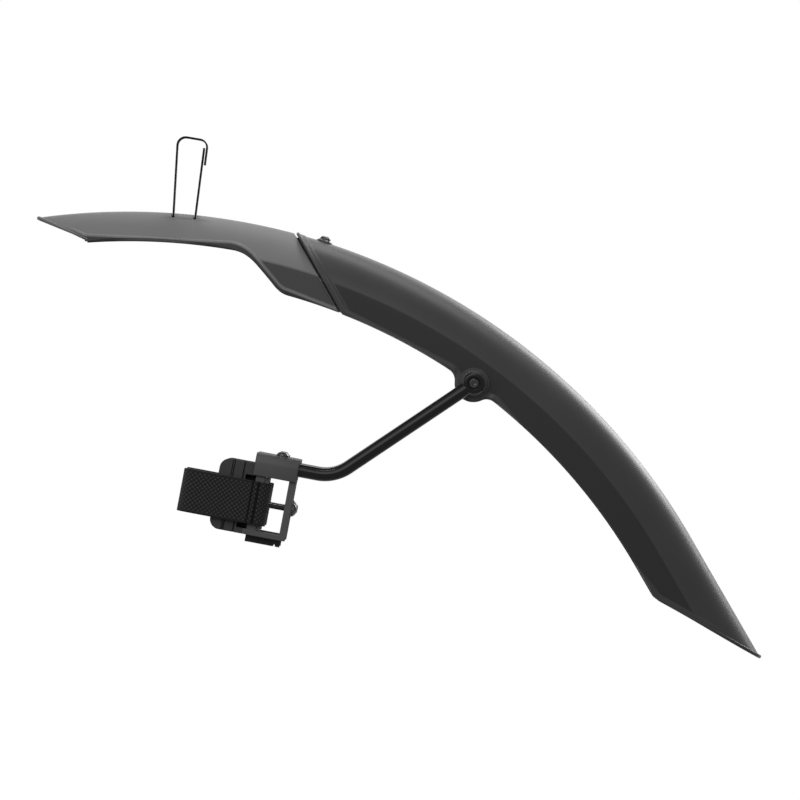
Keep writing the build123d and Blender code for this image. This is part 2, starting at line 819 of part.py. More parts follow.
# Slider: a half-round bar in the fold of the strap, guided by the window
slider_near = window_far - slider_gap - slider_thickness
slider_far = window_far - slider_gap
strap_foot = clamp_strap_top + clamp_strap_width
with BuildPart() as tension_slider:
    with BuildSketch(level_plane(clamp_strap_top + guide_clearance)) as bar_end:
        with Locations((-fold_centre, 0)):
            Circle(stay_loop_radius - guide_clearance)
        with Locations((-(slider_near + slider_far) / 2, 0)):
            Rectangle(slider_thickness, 2 * stay_loop_radius, mode=Mode.INTERSECT)
    extrude(amount=clamp_strap_width - 2 * guide_clearance)
    guide_top = socket_skirt + guide_clearance
    guide_foot = window_foot - guide_clearance
    with BuildSketch(face_plane(0)):
        face_box(slider_near + 2.5 * guide_clearance, slider_far, guide_top, guide_foot)
    extrude(amount=guide_half, both=True)
    with BuildSketch(end_plane(-slider_near + 1)):
        with Locations((0, tension_screw_drop)):
            Circle(shank_radius + hole_clearance)
    extrude(amount=-(slider_thickness + 2), mode=Mode.SUBTRACT)
    with BuildSketch(end_plane(-slider_far)):
        with Locations((0, tension_screw_drop)):
            nut_pocket = square_nut_flats + 2 * running_clearance
            Rectangle(nut_pocket, nut_pocket)
    extrude(amount=square_nut_height + 2 * running_clearance, mode=Mode.SUBTRACT)
save_pair(tension_slider, "tension_slider")

with BuildPart() as tension_nut:
    with BuildSketch(end_plane(-slider_far)):
        with Locations((0, tension_screw_drop)):
            Rectangle(square_nut_flats, square_nut_flats)
            Circle(shank_radius + running_clearance, mode=Mode.SUBTRACT)
    extrude(amount=square_nut_height)
save_pair(tension_nut, "tension_nut")

tension_seat = -frame_edge + ramp_height + running_clearance
tension_screw_plane = Plane(mouth + along * tension_seat + down * tension_screw_drop, z_dir=along)
with BuildPart() as tension_screw:
    tension_shank = window_far + tension_seat
    add(domed_screw(tension_screw_plane, tension_head_radius, tension_head_rise, tension_shank, hex_key))
save_pair(tension_screw, "tension_screw")

# Strap loop: one closed band round the slider and the bicycle's rear stay
with BuildPart() as clamp_strap:
    with BuildSketch(level_plane(clamp_strap_top)):
        with Locations((-(fold_centre + strap_loop_length / 2), 0)):
            SlotCenterToCenter(strap_loop_length, 2 * (stay_loop_radius + clamp_strap_thickness))
            SlotCenterToCenter(strap_loop_length, 2 * stay_loop_radius, mode=Mode.SUBTRACT)
    extrude(amount=clamp_strap_width)
    with BuildSketch(end_plane(-strap_right_end + 1)):
        with Locations((0, tension_screw_drop)):
            Circle(clamp_strap_hole)
    extrude(amount=-(clamp_strap_thickness + 3), mode=Mode.SUBTRACT)
save_pair(clamp_strap, "clamp_strap")
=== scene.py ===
"""Clip-on rear mudguard: two telescoping blades, a strap at the front and two swinging stays with strap clamps.

Metres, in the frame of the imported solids: X to the rear, Z up, Y across, the origin on the crown at the strap.
"""

from math import atan2, cos, pi, radians, sin

import bmesh
import bpy
import numpy as np
from mathutils.geometry import tessellate_polygon
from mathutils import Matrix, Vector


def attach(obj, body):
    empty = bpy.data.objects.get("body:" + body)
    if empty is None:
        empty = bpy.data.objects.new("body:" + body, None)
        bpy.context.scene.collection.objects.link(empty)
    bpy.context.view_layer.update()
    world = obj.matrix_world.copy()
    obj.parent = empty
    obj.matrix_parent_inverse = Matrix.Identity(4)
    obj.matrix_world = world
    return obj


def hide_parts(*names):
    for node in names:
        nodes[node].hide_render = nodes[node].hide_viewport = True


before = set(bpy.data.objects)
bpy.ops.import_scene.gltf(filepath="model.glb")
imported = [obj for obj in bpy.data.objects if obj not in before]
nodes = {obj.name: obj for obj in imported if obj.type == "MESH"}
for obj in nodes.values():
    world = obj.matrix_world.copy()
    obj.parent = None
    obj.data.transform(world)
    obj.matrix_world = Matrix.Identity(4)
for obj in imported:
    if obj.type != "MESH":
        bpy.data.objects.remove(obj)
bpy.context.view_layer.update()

# Studio: a long lens looking across the bicycle, square on to the side of the guard.
# Large soft lamps stand beside, above and behind, with a narrow one for thin highlights, over a pale floor.
camera_data = bpy.data.cameras.new("side_camera")
camera_data.lens = 400.0
camera_data.clip_end = 60.0
camera = bpy.data.objects.new("side_camera", camera_data)
camera.location = (0.16155, -6.667, -0.1395)
camera.rotation_euler = (pi / 2, 0.0, 0.0)
bpy.context.scene.collection.objects.link(camera)
bpy.context.scene.camera = camera
bpy.context.scene.view_settings.view_transform = "Standard"


def soft_lamp(name, place, aim, size, power):
    """A rectangular lamp of a given size and power (W) at a place, facing another place."""
    lamp = bpy.data.lights.new(name, "AREA")
    lamp.shape = "RECTANGLE"
    lamp.size, lamp.size_y = size
    lamp.energy = power
    holder = bpy.data.objects.new(name, lamp)
    holder.location = place
    across = Vector(aim) - Vector(place)
    holder.rotation_euler = across.to_track_quat("-Z", "Y").to_euler()
    bpy.context.scene.collection.objects.link(holder)


soft_lamp("top_lamp", place=(0.45, 0.40, 1.05), aim=(0.20, 0.0, -0.1), size=(1.3, 0.4), power=10.0)
soft_lamp("side_lamp", place=(-0.35, -1.60, 0.70), aim=(0.15, 0.0, -0.15), size=(1.6, 1.2), power=25.0)
soft_lamp("strip_lamp", place=(0.00, -0.45, 1.10), aim=(0.10, 0.0, -0.1), size=(0.6, 0.06), power=4.0)
soft_lamp("far_lamp", place=(0.40, 1.50, 0.80), aim=(0.15, 0.0, -0.1), size=(1.4, 1.0), power=4.0)
soft_lamp("tail_lamp", place=(1.20, 1.30, 0.60), aim=(0.30, 0.0, -0.15), size=(0.8, 0.8), power=14.0)


def feed(tree, node, inputs):
    """Gives a node's inputs their fixed values, or the outputs that drive them."""
    for socket, source in inputs.items():
        if isinstance(source, bpy.types.NodeSocket):
            tree.links.new(source, node.inputs[socket])
        else:
            node.inputs[socket].default_value = source
    return node


def shader_node(tree, kind, inputs, **settings):
    """A new shader node with its settings made and its inputs fed."""
    node = tree.nodes.new("ShaderNode" + kind)
    for setting, choice in settings.items():
        setattr(node, setting, choice)
    return feed(tree, node, inputs)


def calculated(tree, operation, *values):
    """The result of an operation on numbers or other nodes' outputs."""
    return shader_node(tree, "Math", dict(enumerate(values)), operation=operation).outputs[0]


def light_background(tree, lit, glow, share=1.0, strength=1.0):
    """To the camera, mirrors and glass a share of white from a glow node; to all other rays the lit node."""
    path = shader_node(tree, "LightPath", {})
    seen = path.outputs["Is Camera Ray"]
    for ray in ("Is Glossy Ray", "Is Transmission Ray"):
        seen = calculated(tree, "MAXIMUM", seen, path.outputs[ray])
    shown = calculated(tree, "MULTIPLY", seen, share)
    white = shader_node(tree, glow, {"Color": plain_white, "Strength": strength})
    return shader_node(tree, "MixShader", {0: shown, 1: lit.outputs[0], 2: white.outputs[0]})


def new_material(name):
    """A material with nodes, and its node tree."""
    material = bpy.data.materials.new(name)
    material.use_nodes = True
    return material, material.node_tree


plain_white = (1.0, 1.0, 1.0, 1.0)
floor_grey = (0.20, 0.20, 0.20, 1.0)
room_strength = 0.45
floor_glow = 1.10
floor_share = 0.9

room = bpy.data.worlds.new("room")
room.use_nodes = True
walls = room.node_tree
walls.nodes.clear()
room_lit = shader_node(walls, "Background", {"Color": plain_white, "Strength": room_strength})
room_light = light_background(walls, room_lit, "Background")
shader_node(walls, "OutputWorld", {"Surface": room_light.outputs[0]})
bpy.context.scene.world = room

floor_paint, ground = new_material("floor_paint")
ground.nodes.clear()
floor_lit = shader_node(ground, "BsdfDiffuse", {"Color": floor_grey})
floor_light = light_background(ground, floor_lit, "Emission", floor_share, floor_glow)
shader_node(ground, "OutputMaterial", {"Surface": floor_light.outputs[0]})
floor_height = -0.46
floor_front, floor_back, floor_half = -1.5, 1.8, 1.5
floor_mesh = bpy.data.meshes.new("floor")
floor_mesh.from_pydata(
    [
        (floor_front, -floor_half, floor_height), (floor_back, -floor_half, floor_height),
        (floor_back, floor_half, floor_height), (floor_front, floor_half, floor_height),
    ],
    [],
    [(0, 1, 2, 3)],
)
floor_mesh.materials.append(floor_paint)
floor_object = bpy.data.objects.new("floor", floor_mesh)
bpy.context.scene.collection.objects.link(floor_object)

# Rear blade: one injection-moulded shell of black polypropylene, 2.2 mm thick, with matte textured panels.
# Its crown follows one arc, then a straight tail; the skirts end in a rim, the front edge in a round bead.
crown_radius = 0.4875
arc_x = -crown_radius * sin(radians(5.04))
arc_z = -crown_radius * cos(radians(5.04))
arc_run = crown_radius * radians(60.0)
wall = 0.0022
rear_bends = [(0.0334, radians(87.0))]
rear_foot = 0.0465
rear_panel_top = 0.0273
pivot_angle = radians(35.9)
pivot_depth = 0.0449
pivot_reach = crown_radius - pivot_depth
pivot_x = arc_x + pivot_reach * sin(pivot_angle)
pivot_z = arc_z + pivot_reach * cos(pivot_angle)
ear_radius = 0.014
ear_fillet = 0.0095
tail_end = arc_run + 0.1043
tail_heel = arc_run + 0.0270


def side_place(run, depth):
    """Side-view place of a run along the crown, first arc and then straight tail, and a depth below it."""
    turn = np.minimum(run, arc_run) / crown_radius
    beyond = np.maximum(run - arc_run, 0.0)
    reach = crown_radius - depth
    return (
        arc_x + reach * np.sin(turn) + beyond * np.cos(turn),
        arc_z + reach * np.cos(turn) - beyond * np.sin(turn),
    )


def side_line(run, depth):
    """Rows of side-view places, one for each run and depth."""
    return np.stack(side_place(run, depth), axis=-1)


def run_and_depth(x, z):
    """The other way round, on the arc: run = crown_radius * angle, depth = crown_radius - reach."""
    dx = x - arc_x
    dz = z - arc_z
    return np.arctan2(dx, dz) * crown_radius, crown_radius - np.hypot(dx, dz)


def section_place(bends, girth):
    """Half-width, depth and slope at a girth from the crown: arcs one after another, then a straight skirt."""
    slope = 0.0
    used = 0.0
    across = np.zeros_like(girth)
    depth = np.zeros_like(girth)
    lean = np.zeros_like(girth)
    for radius, end in bends:
        turned = np.clip((girth - used) / radius, 0.0, end - slope)
        across = across + radius * (np.sin(slope + turned) - sin(slope))
        depth = depth + radius * (cos(slope) - np.cos(slope + turned))
        lean = lean + turned
        used += radius * (end - slope)
        slope = end
    rest = np.maximum(girth - used, 0.0)
    return across + rest * cos(slope), depth + rest * sin(slope), lean


def girth_at(bends, depth):
    """Girth from the crown to a depth, read off a fine table of the section."""
    table = np.linspace(0.0, 0.09, 3001)
    return np.interp(depth, section_place(bends, table)[1], table)


def rounded_corner(before, corner, after, radius, count=9):
    """Points of the fillet at a corner: an arc tangent to both sides."""
    before, corner, after = (np.asarray(p, float) for p in (before, corner, after))
    inward = (before - corner) / np.linalg.norm(before - corner)
    onward = (after - corner) / np.linalg.norm(after - corner)
    half = 0.5 * np.arccos(np.clip(inward @ onward, -1.0, 1.0))
    middle = corner + (inward + onward) / np.linalg.norm(inward + onward) * radius / np.sin(half)
    start = corner + inward * radius / np.tan(half) - middle
    end = corner + onward * radius / np.tan(half) - middle
    opening = np.arccos(np.clip(start @ end / radius**2, -1.0, 1.0))
    share = np.linspace(0.0, 1.0, count)[:, None]
    return middle + (np.sin((1.0 - share) * opening) * start + np.sin(share * opening) * end) / np.sin(opening)


def distance_to(points_x, points_z, line):
    """Least distance from each side-view place to a polyline, over its straight pieces."""
    best = np.full(points_x.shape, 1.0)
    for (ax, az), (bx, bz) in zip(line[:-1], line[1:]):
        length = max((bx - ax) ** 2 + (bz - az) ** 2, 1e-14)
        along = np.clip(((points_x - ax) * (bx - ax) + (points_z - az) * (bz - az)) / length, 0.0, 1.0)
        best = np.minimum(best, np.hypot(points_x - ax - along * (bx - ax), points_z - az - along * (bz - az)))
    return best


def ease(value, low, high):
    """0 below low, 1 above high, and 3t2 - 2t3 between them."""
    t = np.clip((value - low) / (high - low), 0.0, 1.0)
    return t * t * (3.0 - 2.0 * t)


def round_edge(distance, width, drop):
    """How far an edge rounded to a quarter of an ellipse lies below the face at a distance from the edge."""
    inside = np.clip(distance / width, 0.0, 1.0)
    return drop * (1.0 - np.sqrt(1.0 - (1.0 - inside) ** 2))


def bead(distance, middle, half, rise):
    """Height of a bead of half an ellipse whose middle lies at a distance from the edge."""
    return rise * np.sqrt(np.clip(1.0 - ((distance - middle) / half) ** 2, 0.0, 1.0))


def blade_rows(front, back, foot, near, far, middle, upper, between, rim, bends):
    """Grid over half a blade: rows from its front cut to its back cut, columns from the crown to its foot.

    front and back are (depth, run) tables of the two cuts; foot is the (run, depth) table of the lower edge.
    A row keeps its distance to the nearer cut at the ends, and shares out the run between them in the middle.
    The upper columns keep their girth from the crown, the rim's columns keep their distance to the foot, and
    those between share out the rest.
    """
    shares = np.concatenate([np.zeros(len(near)), middle, np.ones(len(far))])
    steps = np.concatenate([near, near[-1] * (1 - middle) - far[0] * middle, -far])
    foot_depth = np.full(len(shares), foot[1].min())
    for _ in range(60):
        start = np.interp(foot_depth, front[0], front[1])
        end = np.interp(foot_depth, back[0], back[1])
        foot_run = start * (1 - shares) + end * shares + steps
        foot_depth = 0.5 * foot_depth + 0.5 * np.interp(foot_run, foot[0], foot[1])
    full = girth_at(bends, foot_depth)[:, None]
    low = upper[-1]
    shared = low + (full - rim[0] - low) * np.linspace(0.0, 1.0, between + 2)[1:-1]
    half = np.concatenate([np.broadcast_to(upper, (len(shares), len(upper))), shared, full - rim], axis=1)
    girth = np.concatenate([half[:, :0:-1], half], axis=1)

    def run(depth):
        """Run of each grid point at its depth."""
        start = np.interp(depth, front[0], front[1])
        end = np.interp(depth, back[0], back[1])
        return start * (1 - shares[:, None]) + end * shares[:, None] + steps[:, None]

    return run, girth


def blade_points(bends, run, girth, raised, lifted=0.0, upright=0.0):
    """Place of each grid point: on the section, raised along its normal, and lifted straight out from the arc.

    Columns run from the left foot over the crown to the right foot; end rows stay in the planes of the cuts.
    Where upright is 1 a raised point stands square over its own place on the section instead.
    """
    across, depth, lean = section_place(bends, girth)
    columns = girth.shape[1]
    side = np.where(np.arange(columns) < columns // 2, -1.0, 1.0)
    plain = depth
    depth = depth - raised * np.cos(lean) - lifted
    x, z = side_place(run(depth + (plain - depth) * upright), depth)
    return np.stack([x, side * (across + raised * np.sin(lean)), z], axis=-1)


def mesh_object(name, points, faces, body, material):
    """A mesh from points and arrays of faces, turned outwards and smooth but for its sharp edges."""
    mesh = bpy.data.meshes.new(name)
    mesh.from_pydata(points.reshape(-1, 3).tolist(), [], [tuple(f) for group in faces for f in group.tolist()])
    turned = bmesh.new()
    turned.from_mesh(mesh)
    bmesh.ops.recalc_face_normals(turned, faces=turned.faces)
    turned.to_mesh(mesh)
    turned.free()
    mesh.shade_smooth()
    mesh.set_sharp_from_angle(angle=radians(50.0))
    piece = bpy.data.objects.new(name, mesh)
    bpy.context.scene.collection.objects.link(piece)
    if body:
        mesh.materials.append(material)
        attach(piece, body)
    return piece


def grid_faces(rows, columns, start=0, closed=False):
    """Quads of a grid of points, numbered along its rows; closed joins the last column to the first."""
    index = start + np.arange(rows * columns).reshape(rows, columns)
    if closed:
        index = np.concatenate([index, index[:, :1]], axis=1)
    return np.stack([index[:-1, :-1], index[:-1, 1:], index[1:, 1:], index[1:, :-1]], axis=-1).reshape(-1, 4)


def end_rings(rows, count):
    """Point numbers of the first and the last row of a grid."""
    return np.stack([np.arange(count), np.arange(count) + (rows - 1) * count])


def ring_joint(rows, count):
    """Quads that join a grid's last row to its first."""
    first, last = end_rings(rows, count)
    return np.stack([last, np.roll(last, -1), np.roll(first, -1), first], axis=-1)


def closed_sheet(outer, inner):
    """Points and faces of a shell: an outer and an inner grid, joined by quads round their common border."""
    rows, columns = outer.shape[:2]
    index = np.arange(rows * columns).reshape(rows, columns)
    border = np.concatenate([index[0], index[1:, -1], index[-1, -2::-1], index[-2:0:-1, 0]])
    after = np.roll(border, -1)
    faces = [
        grid_faces(rows, columns),
        grid_faces(rows, columns, rows * columns)[:, ::-1],
        np.stack([border, border + rows * columns, after + rows * columns, after], axis=-1),
    ]
    return np.concatenate([outer.reshape(-1, 3), inner.reshape(-1, 3)]), faces


def unit(rows):
    """Rows scaled to a length of 1."""
    return rows / np.linalg.norm(rows, axis=1, keepdims=True)


def rolled_bead(sheet, row, inset, radius, count=24):
    """Round bead along a row of a sheet's grid, its middle an inset from the row, towards higher rows.

    P(s, t) = middle(s) + radius(s) (inward(s) cos t + normal(s) sin t), with flat ends.
    """
    heading = unit(np.gradient(sheet[row], axis=0))
    inward = sheet[row + 3] - sheet[row]
    inward = unit(inward - heading * np.sum(inward * heading, axis=1, keepdims=True))
    normal = np.cross(heading, inward)
    t = np.linspace(0.0, 2 * pi, count, endpoint=False)[:, None]
    middle = (sheet[row] + inward * inset[:, None])[:, None]
    points = middle + radius[:, None, None] * (inward[:, None] * np.cos(t) + normal[:, None] * np.sin(t))
    return points, [grid_faces(len(inward), count, closed=True), end_rings(len(inward), count)]


def joined(parts):
    """Points and faces of several parts as one."""
    points, faces, count = [], [], 0
    for place, groups in parts:
        points.append(place.reshape(-1, 3))
        faces += [group + count for group in groups]
        count += len(points[-1])
    return np.concatenate(points), faces


def cut_out(piece, outline, across, low, high):
    """Takes a prism out of a piece: the outline's places moved by low to high times the direction across."""
    outline = np.asarray(outline, float)
    across = np.asarray(across, float)
    count = len(outline)
    ends = np.stack([outline + across * low, outline + across * high])
    faces = [grid_faces(2, count, closed=True), end_rings(2, count)]
    tool = mesh_object(piece.name + "_cut", ends, faces, None, None)
    cut = piece.modifiers.new("cut", "BOOLEAN")
    cut.object = tool
    cut.solver = "EXACT"
    bpy.context.view_layer.update()
    result = bpy.data.meshes.new_from_object(piece.evaluated_get(bpy.context.evaluated_depsgraph_get()))
    piece.modifiers.clear()
    piece.data = result
    result.set_sharp_from_angle(angle=radians(50.0))
    bpy.data.objects.remove(tool)


def mark(piece, name, values):
    """Keeps a number for every point of a piece, for its material to read."""
    attribute = piece.data.attributes.new(name, "FLOAT", "POINT")
    attribute.data.foreach_set("value", np.asarray(values, np.float32).ravel())


def mapped(tree, value, low, high, start, end):
    """A value carried from the range low to high over to the range start to end, and kept within it."""
    ranges = {"Value": value, "From Min": low, "From Max": high, "To Min": start, "To Max": end}
    return shader_node(tree, "MapRange", ranges).outputs["Result"]


def blended(tree, share, first, second, **settings):
    """The first colour mixed with the second one by a share."""
    colours = {"Factor": share, 6: first, 7: second}
    return shader_node(tree, "Mix", colours, data_type="RGBA", **settings).outputs[2]


def surface(tree, colour, rough, gloss, height, strength, distance, sheen=0.0):
    """Feeds the material's own shader, with a bump of a strength and a distance from a height."""
    bump = shader_node(tree, "Bump", {"Height": height, "Strength": strength, "Distance": distance})
    feed(tree, tree.nodes["Principled BSDF"], {
        "Base Color": colour, "Roughness": rough, "Specular IOR Level": gloss, "Sheen Weight": sheen,
        "Normal": bump.outputs["Normal"],
    })


def moulded_plastic(name, colour, panel_and_shade_colour, rough, panel_rough, gloss, grain=0.00022):
    """Moulded plastic: fine leathery grain, faint flow marks, and a darker colour where the panel mark is 1:
    textured panels, and painted shade on some other places.
    """
    material, tree = new_material(name)
    place = shader_node(tree, "TexCoord", {}).outputs["Object"]
    panel_and_shade = shader_node(tree, "Attribute", {}, attribute_name="panel_and_shade").outputs["Fac"]
    flow = shader_node(tree, "TexNoise", {"Vector": place, "Scale": 14.0, "Detail": 4.0}).outputs["Fac"]
    spark = shader_node(tree, "TexNoise", {"Vector": place, "Scale": 1.0 / (2.0 * grain), "Detail": 3.0})
    pits = shader_node(tree, "TexVoronoi", {"Vector": place, "Scale": 1.0 / (4.0 * grain)})
    # The darker colour is the textured panels' own tone, and painted shade where other places carry the mark.
    base = blended(tree, panel_and_shade, (*colour, 1.0), (*panel_and_shade_colour, 1.0))
    tint = blended(tree, 1.0, base, mapped(tree, flow, 0.3, 0.7, 0.9, 1.08), blend_type="MULTIPLY")
    patchy = calculated(tree, "MULTIPLY_ADD", flow, 0.12, mapped(tree, panel_and_shade, 0.0, 1.0, rough, panel_rough))
    relief = calculated(tree, "MULTIPLY_ADD", spark.outputs["Fac"], 0.6, pits.outputs["Distance"])
    height = calculated(tree, "MULTIPLY", relief, calculated(tree, "MULTIPLY_ADD", panel_and_shade, 2.0, 0.3))
    surface(tree, tint, patchy, gloss, height, strength=0.35, distance=0.00003)
    return material


seam_top = side_line(crown_radius * radians(15.12), 0.0)
seam_foot = side_line(crown_radius * radians(21.4), rear_foot)
seam_down = (seam_foot - seam_top) / np.linalg.norm(seam_foot - seam_top)
seam_rear = np.array([-seam_down[1], seam_down[0]])


def seam_offset(x, z):
    """How far a place in the side view lies to the rear of the seam."""
    return (x - seam_top[0]) * seam_rear[0] + (z - seam_top[1]) * seam_rear[1]


def seam_cut(offset):
    """(depth, run) table of a line along the seam, at a distance to its rear."""
    along = np.linspace(-0.02, 0.09, 111)[:, None]
    line = seam_top + seam_rear * offset + seam_down * along
    run, depth = run_and_depth(line[:, 0], line[:, 1])
    return depth, run


def trimmed(cut, start, corner):
    """A (depth, run) table kept from one depth to a corner, with the corner's rounding after it."""
    keep = (cut[0] >= start) & (cut[0] < corner[0, 1])
    first = np.interp(start, cut[0], cut[1])
    return (
        np.concatenate([[start], cut[0][keep], corner[:, 1]]),
        np.concatenate([[first], cut[1][keep], corner[:, 0]]),
    )


def arc_places(middle, radius, heading):
    """Places on a circle in the side view, at headings turned from straight up towards the rear."""
    return middle + radius * np.stack([np.sin(heading), np.cos(heading)], axis=-1)


# lower edge: the round toe at the seam, the rim, the pivot's ear with its two fillets, and the round heel
rear_cut = seam_cut(0.0)
toe_run = np.interp(rear_foot, *rear_cut)
toe_before = (np.interp(rear_foot - 0.012, *rear_cut), rear_foot - 0.012)
toe = rounded_corner(toe_before, (toe_run, rear_foot), (toe_run + 0.03, rear_foot), radius=0.006)
rim_reach = crown_radius - rear_foot
ear_turn = np.arccos(
    (pivot_reach**2 + (rim_reach - ear_fillet) ** 2 - (ear_radius + ear_fillet) ** 2)
    / (2 * pivot_reach * (rim_reach - ear_fillet))
)
fillet_angle = pivot_angle - ear_turn
fillet_place = np.array([
    arc_x + (rim_reach - ear_fillet) * sin(fillet_angle),
    arc_z + (rim_reach - ear_fillet) * cos(fillet_angle),
])
to_pivot = np.array([pivot_x, pivot_z]) - fillet_place
end_heading = atan2(to_pivot[0], to_pivot[1])
fillet_line = arc_places(fillet_place, ear_fillet, np.linspace(fillet_angle, end_heading, 12))
ear_line = arc_places(
    np.array([pivot_x, pivot_z]), ear_radius, np.linspace(end_heading + pi, pivot_angle + pi, 24)
)
ear_half = np.stack(run_and_depth(*np.concatenate([fillet_line, ear_line]).T), axis=-1)
ear_other = ear_half[::-1] * [-1.0, 1.0] + [2.0 * crown_radius * pivot_angle, 0.0]
heel = rounded_corner(
    (tail_heel - 0.05, rear_foot), (tail_heel, rear_foot), (tail_end, 0.0), radius=0.0125
)
rear_edge = np.concatenate([toe[4:], ear_half, ear_other[1:], heel[:5]])
tail_slope = (tail_end - tail_heel) / rear_foot
tail_cut = (
    np.concatenate([[-0.005, 0.0], heel[:3:-1, 1]]),
    np.concatenate([[tail_end + 0.005 * tail_slope, tail_end], heel[:3:-1, 0]]),
)
front_cut = trimmed(rear_cut, -0.005, toe[:5])

rear_near = np.concatenate([np.linspace(0.0, 0.0086, 25), np.linspace(0.0092, 0.016, 8)])
rear_far = np.array([160, 130, 115, 104, 95, 88, 82, 76, 70, 60, 45, 30, 18, 10, 5, 2, 0]) * 1e-4
crowding = np.linspace(0.0, 1.0, 2001)
density = 1.0 + 3.6 * np.exp(-(((crowding - 0.337) / 0.075) ** 4))
rear_middle = np.interp(np.linspace(0.0, 1.0, 162)[1:-1], np.cumsum(density) / density.sum(), crowding)
swage = float(girth_at(rear_bends, rear_panel_top))
rear_upper = np.concatenate([
    np.linspace(0.0, swage - 0.003, 17),
    swage + np.array([-22, -15, -10, -6, -2, 2, 6, 10, 15, 22]) * 1e-4,
])
rim_columns = np.array([58, 53, 48, 44, 40, 36, 32, 26, 20, 14, 9, 6, 4, 2, 1, 0]) * 1e-4
rear_run, rear_girth = blade_rows(
    front_cut, tail_cut, rear_edge.T, rear_near, rear_far, rear_middle, rear_upper, 8, rim_columns, rear_bends
)
rear_depth = section_place(rear_bends, rear_girth)[1]
rear_x, rear_z = side_place(rear_run(rear_depth), rear_depth)
rear_line = np.concatenate([
    side_line(front_cut[1], front_cut[0])[:-1],
    side_line(rear_edge[:, 0], rear_edge[:, 1]),
    side_line(tail_cut[1], tail_cut[0])[::-1][1:],
])
rear_edge_distance = distance_to(rear_x, rear_z, rear_line)
seam_distance = seam_offset(rear_x, rear_z)
ear_distance = np.hypot(rear_x - pivot_x, rear_z - pivot_z)
rim_width, rim_rise = 0.0041, 0.0006
panel_recess = 0.0008
lip_half, lip_rise = 0.0013, 0.0009
line_middle, line_half, line_rise = 0.0041, 0.0009, 0.0005
edge_width, edge_drop = 0.0016, 0.0010


def on_rim(distance):
    """1 on the rim that runs along an edge, 0 beyond it."""
    return 1.0 - ease(distance, rim_width - 0.0003, rim_width + 0.0005)


def within_rim(distance):
    """0 on the rim that runs along an edge, 1 beyond it."""
    return ease(distance, rim_width + 0.0001, rim_width + 0.0011)


rim_band = on_rim(rear_edge_distance) * ease(ear_distance, ear_radius + 0.0005, ear_radius + 0.004)
panel_mask = (
    within_rim(rear_edge_distance)
    * ease(rear_depth, rear_panel_top - 0.0007, rear_panel_top + 0.0007)
    * ease(seam_distance, 0.0055, 0.0065)
)
rim_band *= np.maximum(ease(rear_depth, 0.012, 0.024), rear_run(rear_depth) < arc_run)
rear_relief = rim_rise * rim_band - panel_recess * panel_mask
rear_relief = np.maximum(rear_relief, bead(seam_distance, lip_half, lip_half, lip_rise))
rear_relief = np.maximum(rear_relief, bead(seam_distance, line_middle, line_half, line_rise))
rear_relief -= np.where(seam_distance < lip_half, 0.0, round_edge(rear_edge_distance, edge_width, edge_drop))
rear_upright = 1.0 - ease(seam_distance, 0.006, 0.010)
rear_outer = blade_points(rear_bends, rear_run, rear_girth, rear_relief, upright=rear_upright)
rear_inner = blade_points(rear_bends, rear_run, rear_girth, -wall)
rear_plastic = moulded_plastic(
    "rear_blade_plastic", (0.026, 0.026, 0.027), (0.011, 0.011, 0.0115),
    rough=0.33, panel_rough=0.52, gloss=0.16,
)
rear_blade = mesh_object(
    "rear_blade_shell", *closed_sheet(rear_outer, rear_inner), "rear_section", rear_plastic
)
mark(rear_blade, "panel_and_shade", np.stack([panel_mask, panel_mask]))
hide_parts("rear_blade")
tail_share = ease(rear_depth[-1], 0.0, rear_foot)
tail_bead = rolled_bead(
    blade_points(rear_bends, rear_run, rear_girth, -0.0002)[::-1],
    row=0, inset=0.0002 + 0.0010 * tail_share, radius=0.0014 - 0.0004 * tail_share,
)
seam_share = ease(rear_depth[3], 0.004, 0.026)
seam_bead = rolled_bead(
    blade_points(rear_bends, rear_run, rear_girth, 0.0003),
    row=3, inset=np.zeros(len(seam_share)), radius=0.00125 - 0.00045 * seam_share,
)
rear_beads = mesh_object("rear_blade_beads", *joined([tail_bead, seam_bead]), "rear_section", rear_plastic)

# Front blade: one moulding with its inner tongue, a ridged roof over narrow skirts, drawn out to a flat tip.
# The ridge widens to a flat seat between the two slots of the front strap; the tongue slides in the rear blade.
front_bends = [(0.016, radians(30.0)), (0.069, radians(58.0)), (0.006, radians(87.0))]
front_foot = 0.0461
front_panel_top = 0.0262
neck_depth = 0.0206
seam_gap = 0.0012
tip_run = crown_radius * radians(-7.93)
tip_heel_run = crown_radius * radians(-3.83)
neck_run = crown_radius * radians(10.7)
shoulder_run = crown_radius * radians(15.0)
strap_run = crown_radius * radians(5.04)
beyond_run = crown_radius * radians(27.0)

tip_place = side_line(tip_run, 0.0)
heel_place = side_line(tip_heel_run, neck_depth)
tip_line = tip_place + (heel_place - tip_place) * np.linspace(-0.25, 1.0, 26)[:, None]
tip_table = np.stack(run_and_depth(*tip_line.T), axis=-1)
tip_heel = rounded_corner(tip_table[-6], (tip_heel_run, neck_depth), (neck_run, neck_depth), radius=0.005)
neck = rounded_corner(
    (tip_heel_run, neck_depth), (neck_run, neck_depth), (shoulder_run, front_foot), radius=0.030, count=21
)
shoulder = rounded_corner(
    (neck_run, neck_depth), (shoulder_run, front_foot), (beyond_run, front_foot), radius=0.020, count=17
)
front_edge = np.concatenate([tip_heel[4:], neck, shoulder, [(beyond_run, front_foot)]])
tip_cut = trimmed((tip_table[:, 1], tip_table[:, 0]), -0.004, tip_heel[:5])
front_back_cut = seam_cut(-seam_gap - 0.0004)
front_near = np.array([0, 1.5, 4, 8, 14, 24, 40, 60, 70, 76, 82, 88, 95, 104, 115, 130, 160]) * 1e-4
front_far = np.array([60, 46, 36, 28, 22, 18, 14, 10, 7, 4, 2, 0]) * 1e-4
front_upper = np.linspace(0.0, 0.0180, 31)
front_run, front_girth = blade_rows(
    tip_cut, front_back_cut, front_edge.T, front_near, front_far, np.linspace(0.0, 1.0, 152)[1:-1],
    front_upper, 46, rim_columns, front_bends,
)
front_across, front_depth, _ = section_place(front_bends, front_girth)
front_x, front_z = side_place(front_run(front_depth), front_depth)
